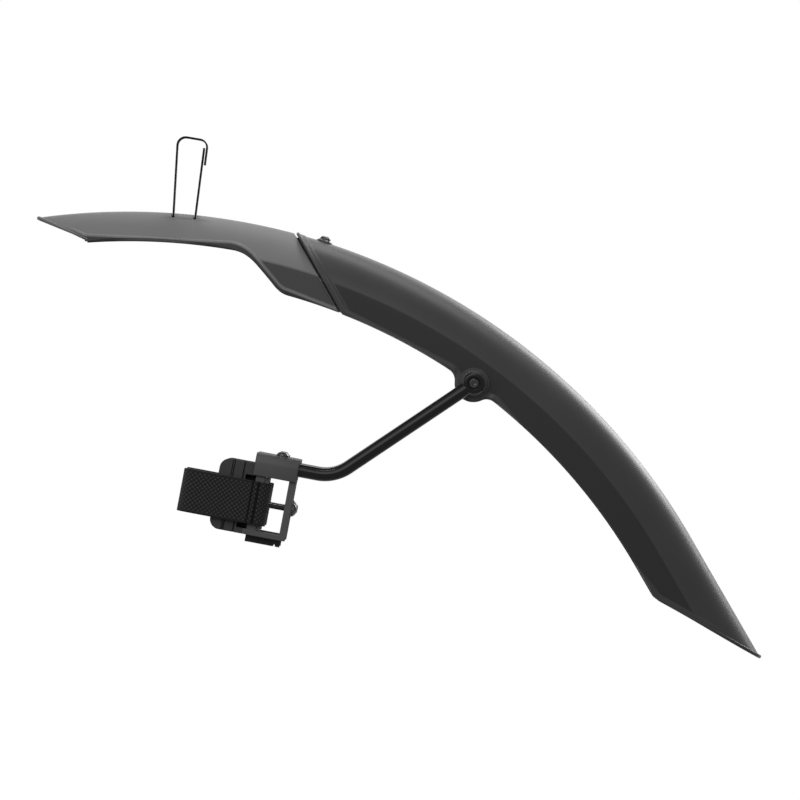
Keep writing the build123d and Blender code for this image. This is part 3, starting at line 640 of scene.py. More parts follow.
front_line = np.concatenate([
    side_line(tip_cut[1], tip_cut[0])[:-1],
    side_line(front_edge[:, 0], front_edge[:, 1]),
])
front_edge_distance = distance_to(front_x, front_z, front_line)
to_seam = -seam_offset(front_x, front_z) - seam_gap
front_panel = (
    within_rim(front_edge_distance)
    * ease(front_depth, front_panel_top - 0.0006, front_panel_top + 0.0006)
    * ease(to_seam, 0.0006, 0.0012)
)
front_skirt = ease(front_depth, 0.008, 0.018)
bevel_width, bevel_drop = 0.0021, 0.0024
front_relief = rim_rise * on_rim(front_edge_distance) - panel_recess * front_panel
front_relief -= bevel_drop * np.clip(1.0 - front_edge_distance / bevel_width, 0.0, 1.0)
front_relief *= front_skirt
front_relief -= round_edge(to_seam, 0.0006, 0.0006)
seat_half, seat_fall, seat_blend = 0.0106, 1.75, 0.0040
seat_drop = front_across - seat_half
seat_depth = seat_fall * 0.5 * (seat_drop + np.sqrt(seat_drop**2 + seat_blend**2))
seat_run = front_run(front_depth) - strap_run
seat_reach = 1.0 - ease(np.abs(seat_run - 0.002), 0.0100, 0.0220)
seat_lift = seat_reach * np.maximum(front_depth - seat_depth, 0.0) * (front_across < 0.020)
front_outer = blade_points(front_bends, front_run, front_girth, front_relief, lifted=seat_lift)
front_inner = blade_points(front_bends, front_run, front_girth, -wall)
front_plastic = moulded_plastic(
    "front_blade_plastic", (0.086, 0.086, 0.088), (0.028, 0.028, 0.029),
    rough=0.42, panel_rough=0.55, gloss=0.20,
)
front_blade = mesh_object(
    "front_blade_shell", *closed_sheet(front_outer, front_inner), "front_section", front_plastic
)
# Painted shade: the chamfered band along the front blade's lower edges takes the darker colour, for the shade
# under its rim.
front_underside_shade = (1.0 - ease(front_edge_distance, 0.0019, 0.0030)) * front_skirt
front_panel_and_shade = np.maximum(front_panel, front_underside_shade)
mark(front_blade, "panel_and_shade", np.stack([front_panel_and_shade, front_panel_and_shade]))
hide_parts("front_blade")
tip_share = np.clip(front_depth[0] / neck_depth, 0.0, 1.0)
tip_bead = rolled_bead(
    blade_points(front_bends, front_run, front_girth, -0.0005),
    row=0, inset=0.0016 * tip_share, radius=0.0015 - 0.0009 * tip_share,
)
mesh_object("front_blade_bead", *tip_bead, "front_section", front_plastic)


def inner_sheet(name, back, depth, rows):
    """A plain part of the front blade under its skin, from just before the seam to a cut, down to a depth;
    painted dark all over as the shade where it shows in the seam's gap.
    """
    foot = np.array([[-0.2, 0.6], [depth, depth]])
    ends = np.array([0.0, 0.0004])
    run, girth = blade_rows(
        seam_cut(-seam_gap - 0.002), seam_cut(back), foot, ends, ends[::-1],
        np.linspace(0.0, 1.0, rows + 2)[1:-1], np.linspace(0.0, 0.02, 21), 24,
        np.array([10, 6, 3, 1, 0]) * 1e-4, front_bends,
    )
    sheets = [blade_points(front_bends, run, girth, -below) for below in (0.0025, 0.0045)]
    piece = mesh_object(name, *closed_sheet(*sheets), "front_section", front_plastic)
    mark(piece, "panel_and_shade", np.ones((2, *girth.shape)))
    return piece


# The web only fills the foot of the seam's gap: a dark sheet standing for the shade seen there.
inner_sheet("front_blade_web", back=0.0015, depth=0.0455, rows=3)
tongue = inner_sheet("front_blade_tongue", back=0.062, depth=0.0425, rows=40)


def crown_axes(angle):
    """Place on the crown at an angle along the arc, and the directions to the rear and outwards there."""
    outwards = np.array([sin(angle), 0.0, cos(angle)])
    rearwards = np.array([cos(angle), 0.0, -sin(angle)])
    return np.array([arc_x, 0.0, arc_z]) + crown_radius * outwards, rearwards, outwards


# openings of the front blade: the strap's two slots, and the long slot of the crown screw in the tongue
strap_route = np.array([
    (14.7, 49.3), (8.25, -0.8), (7.2, -8.8), (-8.8, -7.3),
    (-8.33, -0.75), (-4.95, 58.6), (17.55, 54.75), (15.2, 36.6),
]) * 1e-3
strap_slot_half = 0.0104
screw_hole = 0.00215
crown_screw_angle = radians(17.65)
crown_slot_middle, crown_slot_half = 0.0175, 0.0178
for lower, upper in ((2, 1), (3, 4)):
    low, rise = strap_route[lower], strap_route[upper] - strap_route[lower]
    aside = np.array([-rise[1], rise[0]]) / np.linalg.norm(rise) * 0.0011
    below, above = low + rise * 0.15, low + rise * 1.6
    slot_line = [below - aside, below + aside, above + aside, above - aside]
    cut_out(
        front_blade, [(x, 0.0, z) for x, z in slot_line], (0.0, 1.0, 0.0), -strap_slot_half, strap_slot_half
    )
slot_middle, slot_along, slot_out = crown_axes(crown_screw_angle + crown_slot_middle / crown_radius)
slot_turn = np.linspace(-pi / 2, pi / 2, 9)
slot_end = np.stack(
    [crown_slot_half + screw_hole * np.cos(slot_turn), screw_hole * np.sin(slot_turn)], axis=-1
)
slot_outline = np.concatenate([slot_end, -slot_end])
slot_places = slot_middle + slot_outline[:, :1] * slot_along + slot_outline[:, 1:] * np.array([0.0, 1.0, 0.0])
cut_out(tongue, slot_places, slot_out, -0.009, 0.0)

# Pivot bosses and the crown screw's seat: turned discs of the rear blade's moulding, with small round edges.
# Outside, a stepped boss carries the washer; inside, a pad carries the nut's washer; the crown has a low seat.
pivot_place = np.array([pivot_x, 0.0, pivot_z])
boss_rise = 0.0015
wall_at_pivot = section_place(rear_bends, girth_at(rear_bends, np.array([pivot_depth])))[0]
boss_face = float(wall_at_pivot[0]) + boss_rise
boss_inside, boss_radius, step_radius, step_height = 0.0320, 0.0116, 0.01035, 0.0007
pad_radius, pad_under, pad_over = 0.0075, 0.0045, 0.0032
sides = (("left", -1.0), ("right", 1.0))


def rounded_profile(corners):
    """Rings (radius, height, 0) of a turned profile: corners rounded, each between two close rings."""
    rings = []
    for i, (radius, height, rounding) in enumerate(corners):
        before, after = np.array(corners[i - 1][:2]), np.array(corners[(i + 1) % len(corners)][:2])
        corner = np.array([radius, height])
        arc = rounded_corner(before, corner, after, rounding, 5)
        back = (before - corner) / np.linalg.norm(before - corner) * 0.4 * rounding
        onward = (after - corner) / np.linalg.norm(after - corner) * 0.4 * rounding
        rings += [arc[:1] + back, arc, arc[-1:] + onward]
    rings = np.concatenate(rings)
    return np.concatenate([rings, np.zeros((len(rings), 1))], axis=1)


def turned(rings, origin, axis, closed=True, count=72):
    """Surface turned about an axis: origin + axis h + (u cos t + v sin t) r k, over rings of (r, h, hexagonal).

    k is 1 on a round ring, and on a hexagonal one 1 over the cosine of the angle to its nearest flat's middle.
    Closed joins the last ring to the first; otherwise both ends are flat.
    """
    rings = np.asarray(rings, float)
    axis = np.asarray(axis, float) / np.linalg.norm(axis)
    u = np.cross(axis, (0.0, 1.0, 0.0) if abs(axis[1]) < 0.9 else (1.0, 0.0, 0.0))
    u = u / np.linalg.norm(u)
    v = np.cross(axis, u)
    t = np.linspace(0.0, 2 * pi, count, endpoint=False)
    corner = 1.0 / np.cos((t + pi / 6) % (pi / 3) - pi / 6)
    reach = rings[:, :1] * (1.0 + rings[:, 2:] * (corner - 1.0))
    round_it = np.cos(t)[:, None] * u + np.sin(t)[:, None] * v
    points = origin + rings[:, 1][:, None, None] * axis + reach[..., None] * round_it
    ends = ring_joint(len(rings), count) if closed else end_rings(len(rings), count)
    return points, [grid_faces(len(rings), count, closed=True), ends]


boss = rounded_profile([
    (screw_hole, boss_inside, 0.0001), (boss_radius, boss_inside, 0.0001),
    (boss_radius, boss_face - step_height, 0.0003), (step_radius, boss_face - step_height, 0.0001),
    (step_radius, boss_face, 0.0005), (screw_hole, boss_face, 0.0001),
])
pad = rounded_profile([
    (screw_hole, boss_face - pad_under, 0.0002), (pad_radius, boss_face - pad_under, 0.0004),
    (pad_radius, boss_face - pad_over, 0.0001), (screw_hole, boss_face - pad_over, 0.0001),
])
for side, sign in sides:
    axis = (0.0, sign, 0.0)
    parts = [turned(boss, pivot_place, axis), turned(pad, pivot_place, axis)]
    mesh_object("pivot_boss_" + side, *joined(parts), "rear_section", rear_plastic)
seat_place, _, seat_out = crown_axes(crown_screw_angle)
seat_radius, seat_under, seat_over = 0.0068, -0.001, 0.0001
seat = rounded_profile([
    (screw_hole, seat_under, 0.0001), (seat_radius, seat_under, 0.0001),
    (seat_radius, seat_over, 0.0003), (screw_hole, seat_over, 0.0001),
])
crown_seat = mesh_object("crown_screw_seat", *turned(seat, seat_place, seat_out), "rear_section", rear_plastic)

# Stays: one bent rod each, 10 mm thick, glossy black, with a counterbored eye at the pivot.
# A round tube follows the route from the eye round the bend and on into the clamp's socket.
stay_radius = 0.005
washer_thickness, washer_gap = 0.001, 0.0001
stay_y = boss_face + washer_thickness + washer_gap + stay_radius
tilt = radians(10.7)
slope = radians(33.8)
long_run, short_run = 0.1256, 0.0266
bend_x = pivot_x - long_run * cos(slope)
bend_z = pivot_z - long_run * sin(slope)
mouth_x = bend_x - short_run * cos(tilt)
mouth_z = bend_z + short_run * sin(tilt)


def finish(name, colour, rough, gloss, relief, size, wear=0.0):
    """Paint, metal or rubber: uneven sheen, fine relief of a given size and depth, and paler rubbed places."""
    material, tree = new_material(name)
    place = shader_node(tree, "TexCoord", {}).outputs["Object"]
    uneven = {"Vector": place, "Scale": 90.0, "Detail": 6.0, "Roughness": 0.65}
    patches = shader_node(tree, "TexNoise", uneven).outputs["Fac"]
    fine = shader_node(tree, "TexNoise", {"Vector": place, "Scale": 1.0 / (2.0 * size), "Detail": 3.0})
    paler = [3.0 * c + 0.01 for c in colour]
    tone = blended(tree, mapped(tree, patches, 0.58, 0.75, 0.0, wear), (*colour, 1.0), (*paler, 1.0))
    sheen = mapped(tree, patches, 0.3, 0.7, rough * 0.85, min(1.0, rough * 1.2))
    surface(tree, tone, sheen, gloss, fine.outputs["Fac"], strength=0.4, distance=relief)
    return material


def tube(line, radius, y, count=40):
    """Round tube along a line in the side view: P(s, t) = line(s) + radius (normal(s) cos t + across sin t)."""
    heading = unit(np.gradient(line, axis=0))
    t = np.linspace(0.0, 2 * pi, count, endpoint=False)
    x = line[:, :1] - heading[:, 1:] * radius * np.cos(t)
    z = line[:, 1:] + heading[:, :1] * radius * np.cos(t)
    points = np.stack([x, np.broadcast_to(y + radius * np.sin(t), x.shape), z], axis=-1)
    return points, [grid_faces(len(line), count, closed=True), end_rings(len(line), count)]


def straight(start, end, step=0.002):
    """Evenly spaced places from a start up to an end, without the end."""
    start, end = np.asarray(start, float), np.asarray(end, float)
    count = max(2, int(np.linalg.norm(end - start) / step))
    return start + (end - start) * np.linspace(0.0, 1.0, count, endpoint=False)[:, None]


stay_from, stay_inside = 0.006, 0.027
stay_start = np.array([pivot_x - stay_from * cos(slope), pivot_z - stay_from * sin(slope)])
stay_stop = np.array([mouth_x - stay_inside * cos(tilt), mouth_z + stay_inside * sin(tilt)])
bend = rounded_corner((pivot_x, pivot_z), (bend_x, bend_z), stay_stop, radius=0.031, count=25)
stay_line = np.concatenate(
    [straight(stay_start, bend[0]), bend[:-1], straight(bend[-1], stay_stop), [stay_stop]]
)
stay_paint = finish(
    "stay_paint", (0.004, 0.004, 0.0043), rough=0.15, gloss=0.12, relief=0.000003, size=0.0006, wear=0.10
)
eye = rounded_profile([
    (0.00205, -stay_radius, 0.0002), (0.0082, -stay_radius, 0.0005), (0.0082, stay_radius, 0.0018),
    (0.0047, stay_radius, 0.0003), (0.0047, 0.0006, 0.0002), (0.00205, 0.0006, 0.0001),
])
for side, sign in sides:
    eye_place = np.array([pivot_x, sign * stay_y, pivot_z])
    parts = [tube(stay_line, stay_radius, sign * stay_y), turned(eye, eye_place, (0.0, sign, 0.0))]
    stay = mesh_object("stay_rod_" + side, *joined(parts), "stay_" + side, stay_paint)
    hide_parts("stay_" + side)

# Fasteners: black steel bolts and domed screws with hexagonal sockets, plain washers, and a nylon cone washer.
# Heads and washers are turned, their sockets hexagonal rings of the same surface; tension screws are threaded.
steel = finish(
    "black_steel", (0.004, 0.004, 0.0043), rough=0.12, gloss=0.45, relief=0.000002, size=0.0003, wear=0.1
)
nylon = finish(
    "black_nylon", (0.006, 0.006, 0.0063), rough=0.22, gloss=0.30, relief=0.000006, size=0.0005, wear=0.1
)


def domed_head(radius, rise):
    """Rings of a domed head on height 0: a short straight edge, a dome of a ball, and a hexagonal socket."""
    ball = (radius**2 + rise**2) / (2 * rise)
    top = 0.0009 + rise
    reach = np.linspace(radius, 0.0022, 12)
    dome = np.stack([reach, top - ball + np.sqrt(ball**2 - reach**2)], axis=-1)
    brim = [(0.0021, 0.0), (radius - 0.0003, 0.0), (radius - 0.0001, 0.0001), (radius, 0.0003)]
    rings = np.concatenate([brim, dome])
    mouth = dome[-1, 1]
    socket = [
        (0.0017, mouth, 1.0), (0.0015, mouth - 0.0002, 1.0),
        (0.0015, rise / 2 + 0.0001, 1.0), (0.0014, rise / 2, 1.0),
    ]
    return np.concatenate([np.concatenate([rings, np.zeros((len(rings), 1))], axis=1), socket])


thread_pitch = 0.0007


def shank(length, threaded):
    """Rings of an M4 shank below height 0, close together where a thread is to be cut into it."""
    height = np.linspace(-length, 0.0, int(length / 0.0001) + 1 if threaded else 3)
    radius = np.full_like(height, 0.0019 if threaded else 0.002)
    return np.stack([radius, height, np.zeros_like(height)], axis=-1)


def screw(name, head, length, origin, axis, body, threaded=False):
    """A screw: its head and its shank as one piece.

    Where threaded, the shank's radius waves with cos 2 pi (height / pitch - t), t being the share of the turn.
    """
    rod, rod_faces = turned(shank(length, threaded), origin, axis, closed=False)
    if threaded:
        t = np.linspace(0.0, 1.0, 72, endpoint=False)
        height = np.linspace(-length, 0.0, rod.shape[0])[:, None]
        wave = 0.5 + 0.5 * np.cos(2 * pi * (height / thread_pitch - t))
        middle = rod.mean(axis=1, keepdims=True)
        rod = middle + (rod - middle) * (0.90 + 0.15 * wave)[..., None]
    parts = [turned(head, origin, axis, closed=False), (rod, rod_faces)]
    piece = mesh_object(name, *joined(parts), body, steel)
    return piece


crown_top = seat_place + seat_out * 0.002
crown_head = domed_head(radius=0.004, rise=0.002)
crown_screw = screw("crown_screw_turned", crown_head, 0.0126, crown_top, seat_out, "rear_section")
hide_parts("crown_screw")
cone = rounded_profile([
    (screw_hole, 0.0001, 0.0001), (0.0064, 0.0001, 0.0003),
    (0.0043, 0.002, 0.0003), (screw_hole, 0.002, 0.0001),
])
cone_washer = mesh_object("crown_cone_washer", *turned(cone, seat_place, seat_out), "rear_section", nylon)
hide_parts("crown_washer")
along = np.array([cos(tilt), 0.0, -sin(tilt)])
down = np.array([-sin(tilt), 0.0, -cos(tilt)])
backing_thickness, nut_height, bolt_beyond = 0.0008, 0.0032, 0.0006
head_recess, head_gap = 0.0044, 0.00005
socket_screw_run, socket_top = 0.0139, 0.008
washer = rounded_profile([
    (screw_hole, 0.0, 0.0001), (0.0092, 0.0, 0.0002),
    (0.0092, washer_thickness, 0.0003), (screw_hole, washer_thickness, 0.0001),
])
head_seat = stay_y + stay_radius - head_recess + head_gap
bolt_end = boss_face - pad_under - backing_thickness - nut_height - bolt_beyond
cap_head = [
    (0.0021, 0.0, 0.0), (0.0033, 0.0, 0.0), (0.0035, 0.0002, 0.0), (0.0035, 0.0034, 0.0), (0.0035, 0.0036, 0.0),
    (0.0033, 0.0039, 0.0), (0.0031, 0.0040, 0.0), (0.0030, 0.0040, 0.0), (0.0018, 0.0040, 0.0),
    (0.0016, 0.0040, 1.0), (0.0015, 0.0038, 1.0), (0.0015, 0.0019, 1.0), (0.0014, 0.0018, 1.0),
]
for side, sign in sides:
    axis = np.array([0.0, sign, 0.0])
    mouth = np.array([mouth_x, sign * stay_y, mouth_z])
    flat_washer = mesh_object(
        "pivot_washer_turned_" + side, *turned(washer, pivot_place + axis * boss_face, axis),
        "rear_section", steel,
    )
    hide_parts("pivot_washer_" + side)
    bolt = screw(
        "pivot_bolt_turned_" + side, cap_head, head_seat - bolt_end,
        pivot_place + axis * head_seat, axis, "rear_section",
    )
    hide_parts("pivot_bolt_" + side)
    socket_screw = screw(
        "socket_screw_turned_" + side, domed_head(radius=0.0047, rise=0.0028), 0.0028,
        mouth - along * socket_screw_run - down * socket_top, -down, "clamp_" + side,
    )
    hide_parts("socket_screw_" + side)
    tension_screw = screw(
        "tension_screw_turned_" + side, domed_head(radius=0.005, rise=0.0028), 0.0240,
        mouth + along * 0.00045 + down * 0.02985, along, "tension_screw_" + side, threaded=True,
    )
    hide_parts("tension_screw_" + side)

# Clamp frames: satin black nylon mouldings with a D-shaped socket, a window, a slot and a plate with grooves.
# Flat outlines with holes are drawn out and edged with quarter-rounds; the plate's strips leave grooves open.
# The clamp plastic's darker colour is near black: on the plate, seen only at the floors of the grooves, it is
# painted shade.
clamp_plastic = moulded_plastic(
    "clamp_plastic", (0.045, 0.045, 0.0465), (0.002, 0.002, 0.002),
    rough=0.40, panel_rough=0.55, gloss=0.18, grain=0.00018,
)


def rounded_outline(corners):
    """Closed outline from corners (a, b, rounding), in metres."""
    places = []
    for i, (a, b, rounding) in enumerate(corners):
        before, after = corners[i - 1][:2], corners[(i + 1) % len(corners)][:2]
        count = 5 + int(rounding / 0.0008)
        arc = rounded_corner(before, (a, b), after, rounding, count) if rounding else np.array([(a, b)])
        places.append(arc)
    return np.concatenate(places)


def moulding(loops, low, high, edge, place):
    """Prism between two heights: an outline and its holes, each edge a quarter-round, put where place says.

    Rows run from the lower cap over the side to the upper one, each the outline moved inwards by an inset.
    """
    turn = np.linspace(0.0, pi / 2, 4)
    curve = edge * (1.0 - np.sin(turn)), edge * (1.0 - np.cos(turn))
    inset = np.concatenate([[1.5 * edge], curve[0], curve[1], [1.5 * edge]])
    height = np.concatenate([[low], low + curve[1], high - curve[0], [high]])
    points, faces, caps, count = [], [], [[], []], 0
    for hole, loop in enumerate(loops):
        loop = rounded_outline(loop) if len(loop[0]) == 3 else loop
        area = np.sum(loop[:, 0] * np.roll(loop[:, 1], -1) - np.roll(loop[:, 0], -1) * loop[:, 1])
        loop = loop[::-1] if (area > 0) == (hole > 0) else loop
        step = np.roll(loop, -1, axis=0) - loop
        normal = np.stack([-step[:, 1], step[:, 0]], axis=-1) / np.linalg.norm(step, axis=1, keepdims=True)
        other = np.roll(normal, 1, axis=0)
        mitre = (normal + other) / (1.0 + np.sum(normal * other, axis=1, keepdims=True))
        rows = loop + mitre * inset[:, None, None]
        heights = np.broadcast_to(height[:, None], rows.shape[:2])
        points.append(place(rows[..., 0], rows[..., 1], heights).reshape(-1, 3))
        faces.append(grid_faces(len(inset), len(loop), count, closed=True))
        for cap, row in ((0, 0), (1, -1)):
            numbers = count + np.arange(rows.shape[0] * len(loop)).reshape(-1, len(loop))[row]
            caps[cap].append((rows[row], numbers))
        count += rows.shape[0] * len(loop)
    for cap in caps:
        numbers = np.concatenate([n for _, n in cap])
        flat = tessellate_polygon([[(a, b, 0.0) for a, b in outline] for outline, _ in cap])
        faces.append(numbers[np.array(flat)])
    return np.concatenate(points), faces


def clamp_frame_parts(face, end):
    """The frame's parts and how much darker each is painted, without the screw's seat; face and end place them.

    An outline for face is (along the stay, down from it, rounding), one for end (outwards, down, rounding).
    """
    back, front, strip_front, strip_soft, strip_dark = -0.0050, 0.0050, 0.0044, 0.00025, 0.62
    top, slot_top, slot_low, low = 0.0006, 0.0099, 0.04985, 0.0541
    plate = [
        (-0.0326, 0.00065, 0.0), (-0.0326, 0.00986, 0.0), (-0.03819, 0.00986, 0.0), (-0.03819, 0.04989, 0.0),
        (-0.0326, 0.04989, 0.0), (-0.0326, 0.05405, 0.0),
        (-0.05845, 0.05405, 0.0075), (-0.05845, 0.00065, 0.0075),
    ]
    strip = [
        (-0.0330, top, 0.0), (-0.0330, slot_top, 0.0), (-0.03815, slot_top, 0.0), (-0.03815, slot_low, 0.0),
        (-0.0330, slot_low, 0.0), (-0.0330, low, 0.0), (-0.0396, low, 0.0), (-0.0396, top, 0.0),
    ]
    end_strip = [(-0.0494, top, 0.0), (-0.0494, low, 0.0), (-0.0585, low, 0.0076), (-0.0585, top, 0.0076)]
    body = [
        (-0.0005, 0.0, 0.0006), (-0.0332, 0.0, 0.0), (-0.0332, slot_top, 0.0), (-0.03035, slot_top, 0.0),
        (-0.03035, slot_low, 0.0), (-0.0332, slot_low, 0.0), (-0.0332, low, 0.0), (-0.0005, low, 0.0010),
    ]
    window = [
        (-0.0055, 0.0088, 0.0005), (-0.0055, 0.0501, 0.0005),
        (-0.02355, 0.0501, 0.0005), (-0.02355, 0.0088, 0.0005),
    ]
    cap = [
        (0.008, 0.0094, 0.0006), (-0.008, 0.0094, 0.0006), (-0.008, -0.008, 0.00798), (0.008, -0.008, 0.00798),
    ]
    ramp = [
        (-0.002, 0.02355, 0.0), (-0.0005, 0.02355, 0.0), (0.0004, 0.02445, 0.0),
        (0.0004, 0.03525, 0.0), (-0.0005, 0.03615, 0.0), (-0.002, 0.03615, 0.0),
    ]
    lip = [
        (0.0058, -0.0030, 0.0007), (-0.0058, -0.0030, 0.0007),
        (-0.0058, -0.0078, 0.0040), (0.0058, -0.0078, 0.0040),
    ]
    shapes = [
        # The plate shows only at the groove floors, so its full darkness is painted shade there; the other
        # parts' darkness is their tone.
        ([plate], -0.0049, 0.0026, 0.0001, face, 1.0),
        ([strip], back, strip_front, strip_soft, face, strip_dark),
        ([end_strip], back, strip_front, strip_soft, face, strip_dark),
        ([body, window], back, front, 0.0004, face, 0.0),
        ([cap], -0.0332, -0.0003, 0.0011, end, 0.15),
        ([ramp], -0.0048, 0.0048, 0.0002, face, 0.3),
        ([lip], -0.0012, 0.0003, 0.0004, end, 0.15),
    ]
    for near, far in ((-0.0473, -0.0407), (-0.0487, -0.0480)):
        bar = [(far, top, 0.0), (far, low, 0.0), (near, low, 0.0), (near, top, 0.0)]
        shapes.append(([bar], back, strip_front, strip_soft, face, strip_dark))
    return [moulding(*shape) for *shape, _ in shapes], [dark for *_, dark in shapes]


# Liners: soft black rubber pads behind the plates, with a skirt that shows below the frame.
# One flat outline with a small notch in the skirt, drawn out 2.7 mm, its edges rounded.
rubber = finish(
    "liner_rubber", (0.010, 0.010, 0.010), rough=0.75, gloss=0.20, relief=0.00004, size=0.0004, wear=0.3
)
skirt_low = 0.0593
liner = [
    (-0.0335, 0.0021, 0.0), (-0.0335, 0.0097, 0.0), (-0.0272, 0.0097, 0.0), (-0.0272, 0.0503, 0.0),
    (-0.0038, 0.0503, 0.0), (-0.0038, skirt_low, 0.0), (-0.0071, skirt_low, 0.0), (-0.00795, 0.0573, 0.0),
    (-0.0088, skirt_low, 0.0), (-0.0302, skirt_low, 0.0), (-0.0302, 0.0526, 0.0), (-0.0570, 0.0526, 0.0061),
    (-0.0570, 0.0021, 0.0061),
]

# Strap loops of the clamps: woven tape 32 mm wide and 2 mm thick, sewn to a loop round slider and seat stay.
# A rounded section with the weave's staggered ribs is carried round the loop; two seams cross it near the fold,
# sunk and painted near black as shade.
loop_straight, loop_radius = 0.047, 0.009
strap_length = 2 * loop_straight + 2 * pi * loop_radius
strap_width = 0.0323
strap_top = 0.0137
tape_half, tape_edge, face_columns = 0.001, 0.0008, 76
rib_count, rib_spacing, rib_rise, rib_drop = 44, 0.0034, 0.00010, 0.00012
stitch_place, stitch_drop = 0.0043, 0.0007


def woven_tape(name, colour, rib_colour):
    """Woven tape: pale ribs by the weave mark, painted shade where that mark is below 0, fine crossed threads on
    the tape's own map, a soft sheen.
    """
    material, tree = new_material(name)
    weave_and_shade = shader_node(tree, "Attribute", {}, attribute_name="weave_and_shade").outputs["Fac"]
    flat = shader_node(tree, "UVMap", {}).outputs["UV"]
    wave = {"Vector": flat, "Scale": 620.0, "Distortion": 0.6}
    warp, weft = (shader_node(tree, "TexWave", wave, bands_direction=direction) for direction in ("X", "Y"))
    crossed = calculated(tree, "MAXIMUM", warp.outputs["Fac"], weft.outputs["Fac"])
    fibres = shader_node(tree, "TexNoise", {"Vector": flat, "Scale": 1500.0})
    threads = calculated(tree, "MULTIPLY_ADD", fibres.outputs["Fac"], 0.6, crossed)
    # Unclamped, a mark below 0 darkens the tape below its own colour: painted shade at the seams.
    tone = blended(tree, weave_and_shade, (*colour, 1.0), (*rib_colour, 1.0), clamp_factor=False)
    shaded = blended(tree, 1.0, tone, mapped(tree, threads, 0.0, 1.3, 0.65, 1.15), blend_type="MULTIPLY")
    surface(tree, shaded, 0.85, gloss=0.12, height=threads, strength=0.6, distance=0.00008, sheen=0.05)
    return material


def loop_line(s, radius):
    """The loop's middle line in the clamp's (u, out), and its outward lean: two straights, two half-circles."""
    near, far = -0.0272, -0.0742
    run, half = loop_straight, pi * radius
    limbs = [s < run, s < run + half, s < 2 * run + half]
    turn_far = np.clip((s - run) / radius, 0.0, pi)
    turn_near = np.clip((s - run - half - run) / radius, 0.0, pi)
    u = np.select(
        limbs, [near - s, far - radius * np.sin(turn_far), far + (s - run - half)],
        near + radius * np.sin(turn_near),
    )
    out = np.select(limbs, [radius, radius * np.cos(turn_far), -radius], -radius * np.cos(turn_near))
    lean_u = np.select(limbs, [0.0, -np.sin(turn_far), 0.0], np.sin(turn_near))
    lean_out = np.select(limbs, [1.0, np.cos(turn_far), -1.0], -np.cos(turn_near))
    return u, out, lean_u, lean_out


tape_along = np.linspace(0.0, strap_length, 352, endpoint=False)[:, None]
flat_across = np.linspace(tape_edge, strap_width - tape_edge, face_columns)
edge_turn = np.linspace(0.0, pi, 7)[1:-1]
tape_across = np.concatenate([
    flat_across, strap_width - tape_edge + tape_edge * np.sin(edge_turn),
    flat_across[::-1], tape_edge - tape_edge * np.sin(edge_turn),
])[None, :]
half_height = np.concatenate([np.full(face_columns, tape_half), tape_half * np.cos(edge_turn)])
tape_height = np.concatenate([half_height, -half_height])[None, :]
rib_phase = 2 * pi * tape_along * rib_count / strap_length
ribs = np.cos(rib_phase) * np.cos(2 * pi * (tape_across - strap_width / 2) / rib_spacing)
from_edge = np.minimum(tape_across, strap_width - tape_across)
on_face = (np.abs(tape_height) > 0.99 * tape_half) * ease(from_edge, tape_edge, 2 * tape_edge)
near_fold = np.minimum(tape_along, strap_length - tape_along)
seams_and_shade = 2.0 - ease(np.abs(tape_along - stitch_place), 0.0005, 0.0010) - ease(near_fold, 0.0008, 0.0014)
seams_and_shade = seams_and_shade * (tape_height > 0)
# At the two seams the mark falls below 0, which paints their grooves near black as shade.
weave_and_seam_shade = on_face * ease(ribs, 0.15, 0.85) * (1.0 - seams_and_shade) - 0.22 * seams_and_shade
tape_relief = np.sign(tape_height) * (on_face * (rib_rise * ribs - rib_drop) - stitch_drop * seams_and_shade)
tape_u, tape_out, tape_lean_u, tape_lean_out = loop_line(tape_along, loop_radius)
tape_u = tape_u + tape_lean_u * (tape_height + tape_relief)
tape_out = tape_out + tape_lean_out * (tape_height + tape_relief)
tape_v = np.broadcast_to(strap_top + tape_across, tape_u.shape)
tape_faces = [grid_faces(*tape_u.shape, closed=True), ring_joint(*tape_u.shape)]
webbing = woven_tape("strap_webbing", (0.0065, 0.0065, 0.007), (0.037, 0.037, 0.039))


def flat_map(piece, s, t):
    """UV map in metres from two numbers for every point."""
    corners = np.zeros(len(piece.data.loops), dtype=np.int32)
    piece.data.loops.foreach_get("vertex_index", corners)
    places = np.stack([np.broadcast_to(s, t.shape).ravel()[corners], t.ravel()[corners]], axis=-1)
    piece.data.uv_layers.new(name="tape").data.foreach_set("uv", places.astype(np.float32).ravel())


seat_rings = [
    (0.0049, -0.003, 0.0), (0.0049, -0.0002, 0.0), (0.0048, -0.00005, 0.0), (0.0046, 0.0, 0.0),
    (0.0022, 0.0, 0.0),
]
for side, sign in sides:

    def on_clamp(u, v, out, sign=sign):
        """Place from the clamp's own directions: along the stay, down from it, and outwards from its axis."""
        x = mouth_x + u * cos(tilt) - v * sin(tilt)
        z = mouth_z - u * sin(tilt) - v * cos(tilt)
        return np.stack(np.broadcast_arrays(x, sign * (stay_y + out), z), axis=-1)

    frame_parts, tone_and_groove_shade = clamp_frame_parts(on_clamp, lambda out, v, u: on_clamp(u, v, out))
    screw_seat = turned(seat_rings, on_clamp(-socket_screw_run, -socket_top, 0.0), -down, closed=False)
    frame_parts.append(screw_seat)
    tone_and_groove_shade.append(0.0)
    clamp_frame = mesh_object("clamp_moulding_" + side, *joined(frame_parts), "clamp_" + side, clamp_plastic)
    shades = [np.full(part[0].size // 3, dark) for part, dark in zip(frame_parts, tone_and_groove_shade)]
    mark(clamp_frame, "panel_and_shade", np.concatenate(shades))
    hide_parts("clamp_frame_" + side)
    pad = mesh_object(
        "liner_pad_" + side, *moulding([liner], -0.0077, -0.0050, 0.0003, on_clamp), "clamp_" + side, rubber
    )
    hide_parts("clamp_liner_" + side)
    strap = mesh_object(
        "strap_loop_" + side, on_clamp(tape_u, tape_v, tape_out), tape_faces, "strap_" + side, webbing
    )
    mark(strap, "weave_and_shade", weave_and_seam_shade)
    flat_map(strap, tape_along, np.broadcast_to(tape_across, tape_u.shape))
    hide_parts("clamp_strap_" + side)

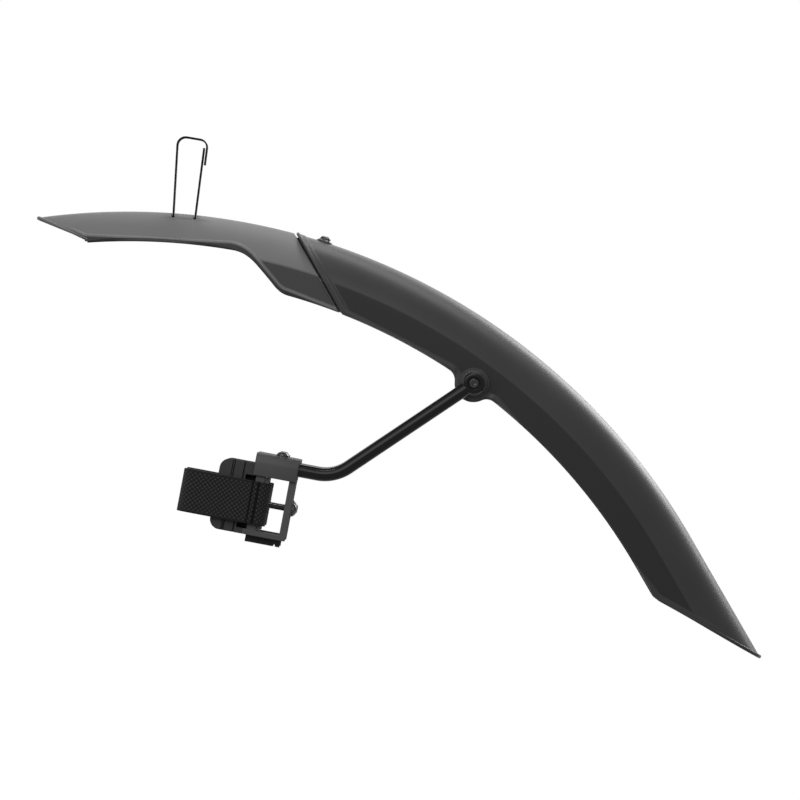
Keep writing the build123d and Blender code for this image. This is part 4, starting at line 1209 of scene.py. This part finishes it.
# Front strap: hook-and-loop tape 20 mm wide and 1.2 mm thick, 1.4 mm at its hooks, through the two slots.
# The route seen edge on, closed on its own end, is thickened to both sides, rippled by the hooks and drawn out.
bends = [0.0, 0.0, 0.0026, 0.0026, 0.0, 0.0063, 0.0058, 0.0]
route = np.concatenate([
    rounded_corner(*strap_route[i - 1:i + 2], radius, 9) if radius else strap_route[i:i + 1]
    for i, radius in enumerate(bends)
])
route_run = np.concatenate([[0.0], np.cumsum(np.linalg.norm(np.diff(route, axis=0), axis=1))])
even = np.linspace(0.0, route_run[-1], 436)
route = np.stack([np.interp(even, route_run, route[:, 0]), np.interp(even, route_run, route[:, 1])], axis=-1)
route_heading = np.gradient(route, axis=0)
route_normal = unit(np.stack([-route_heading[:, 1], route_heading[:, 0]], axis=-1))
hook_rise, hook_spacing, front_tape_half = 0.00011, 0.0016, 0.0006
hooks = hook_rise * np.cos(2 * pi * even / hook_spacing)
hooks = hooks * ease(-route[:, 0], 0.0035, 0.0045) * ease(route[:, 1], 0.0, 0.002)
to_face = route_normal * (front_tape_half + hooks)[:, None]
tape_outline = np.concatenate([route + to_face, (route - to_face)[::-1]])
tape = finish(
    "front_tape", (0.006, 0.006, 0.0062), rough=0.9, gloss=0.10, relief=0.00003, size=0.0004, wear=0.0
)
front_strap = mesh_object(
    "front_strap_tape",
    *moulding([tape_outline], -0.010, 0.010, 0.0002, lambda x, z, y: np.stack([x, y, z], axis=-1)),
    "front_section",
    tape,
)
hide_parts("front_strap")

# Nuts, backing washers and sliders are the solids themselves, with the finishes of their own kind.
# They sit inside the blades or in the folds of the straps.
for name, finish_of, slot_name in (
    ("crown_backing_washer", steel, "black_steel"),
    ("crown_nut", steel, "black_steel"),
    ("pivot_backing_washer_left", steel, "black_steel"),
    ("pivot_backing_washer_right", steel, "black_steel"),
    ("pivot_nut_left", steel, "black_steel"),
    ("pivot_nut_right", steel, "black_steel"),
    ("tension_nut_left", steel, "black_steel"),
    ("tension_nut_right", steel, "black_steel"),
    ("tension_slider_left", clamp_plastic, "liner_rubber"),
    ("tension_slider_right", clamp_plastic, "liner_rubber"),
):
    nodes[name].data.materials.clear()
    nodes[name].data.materials.append(finish_of)
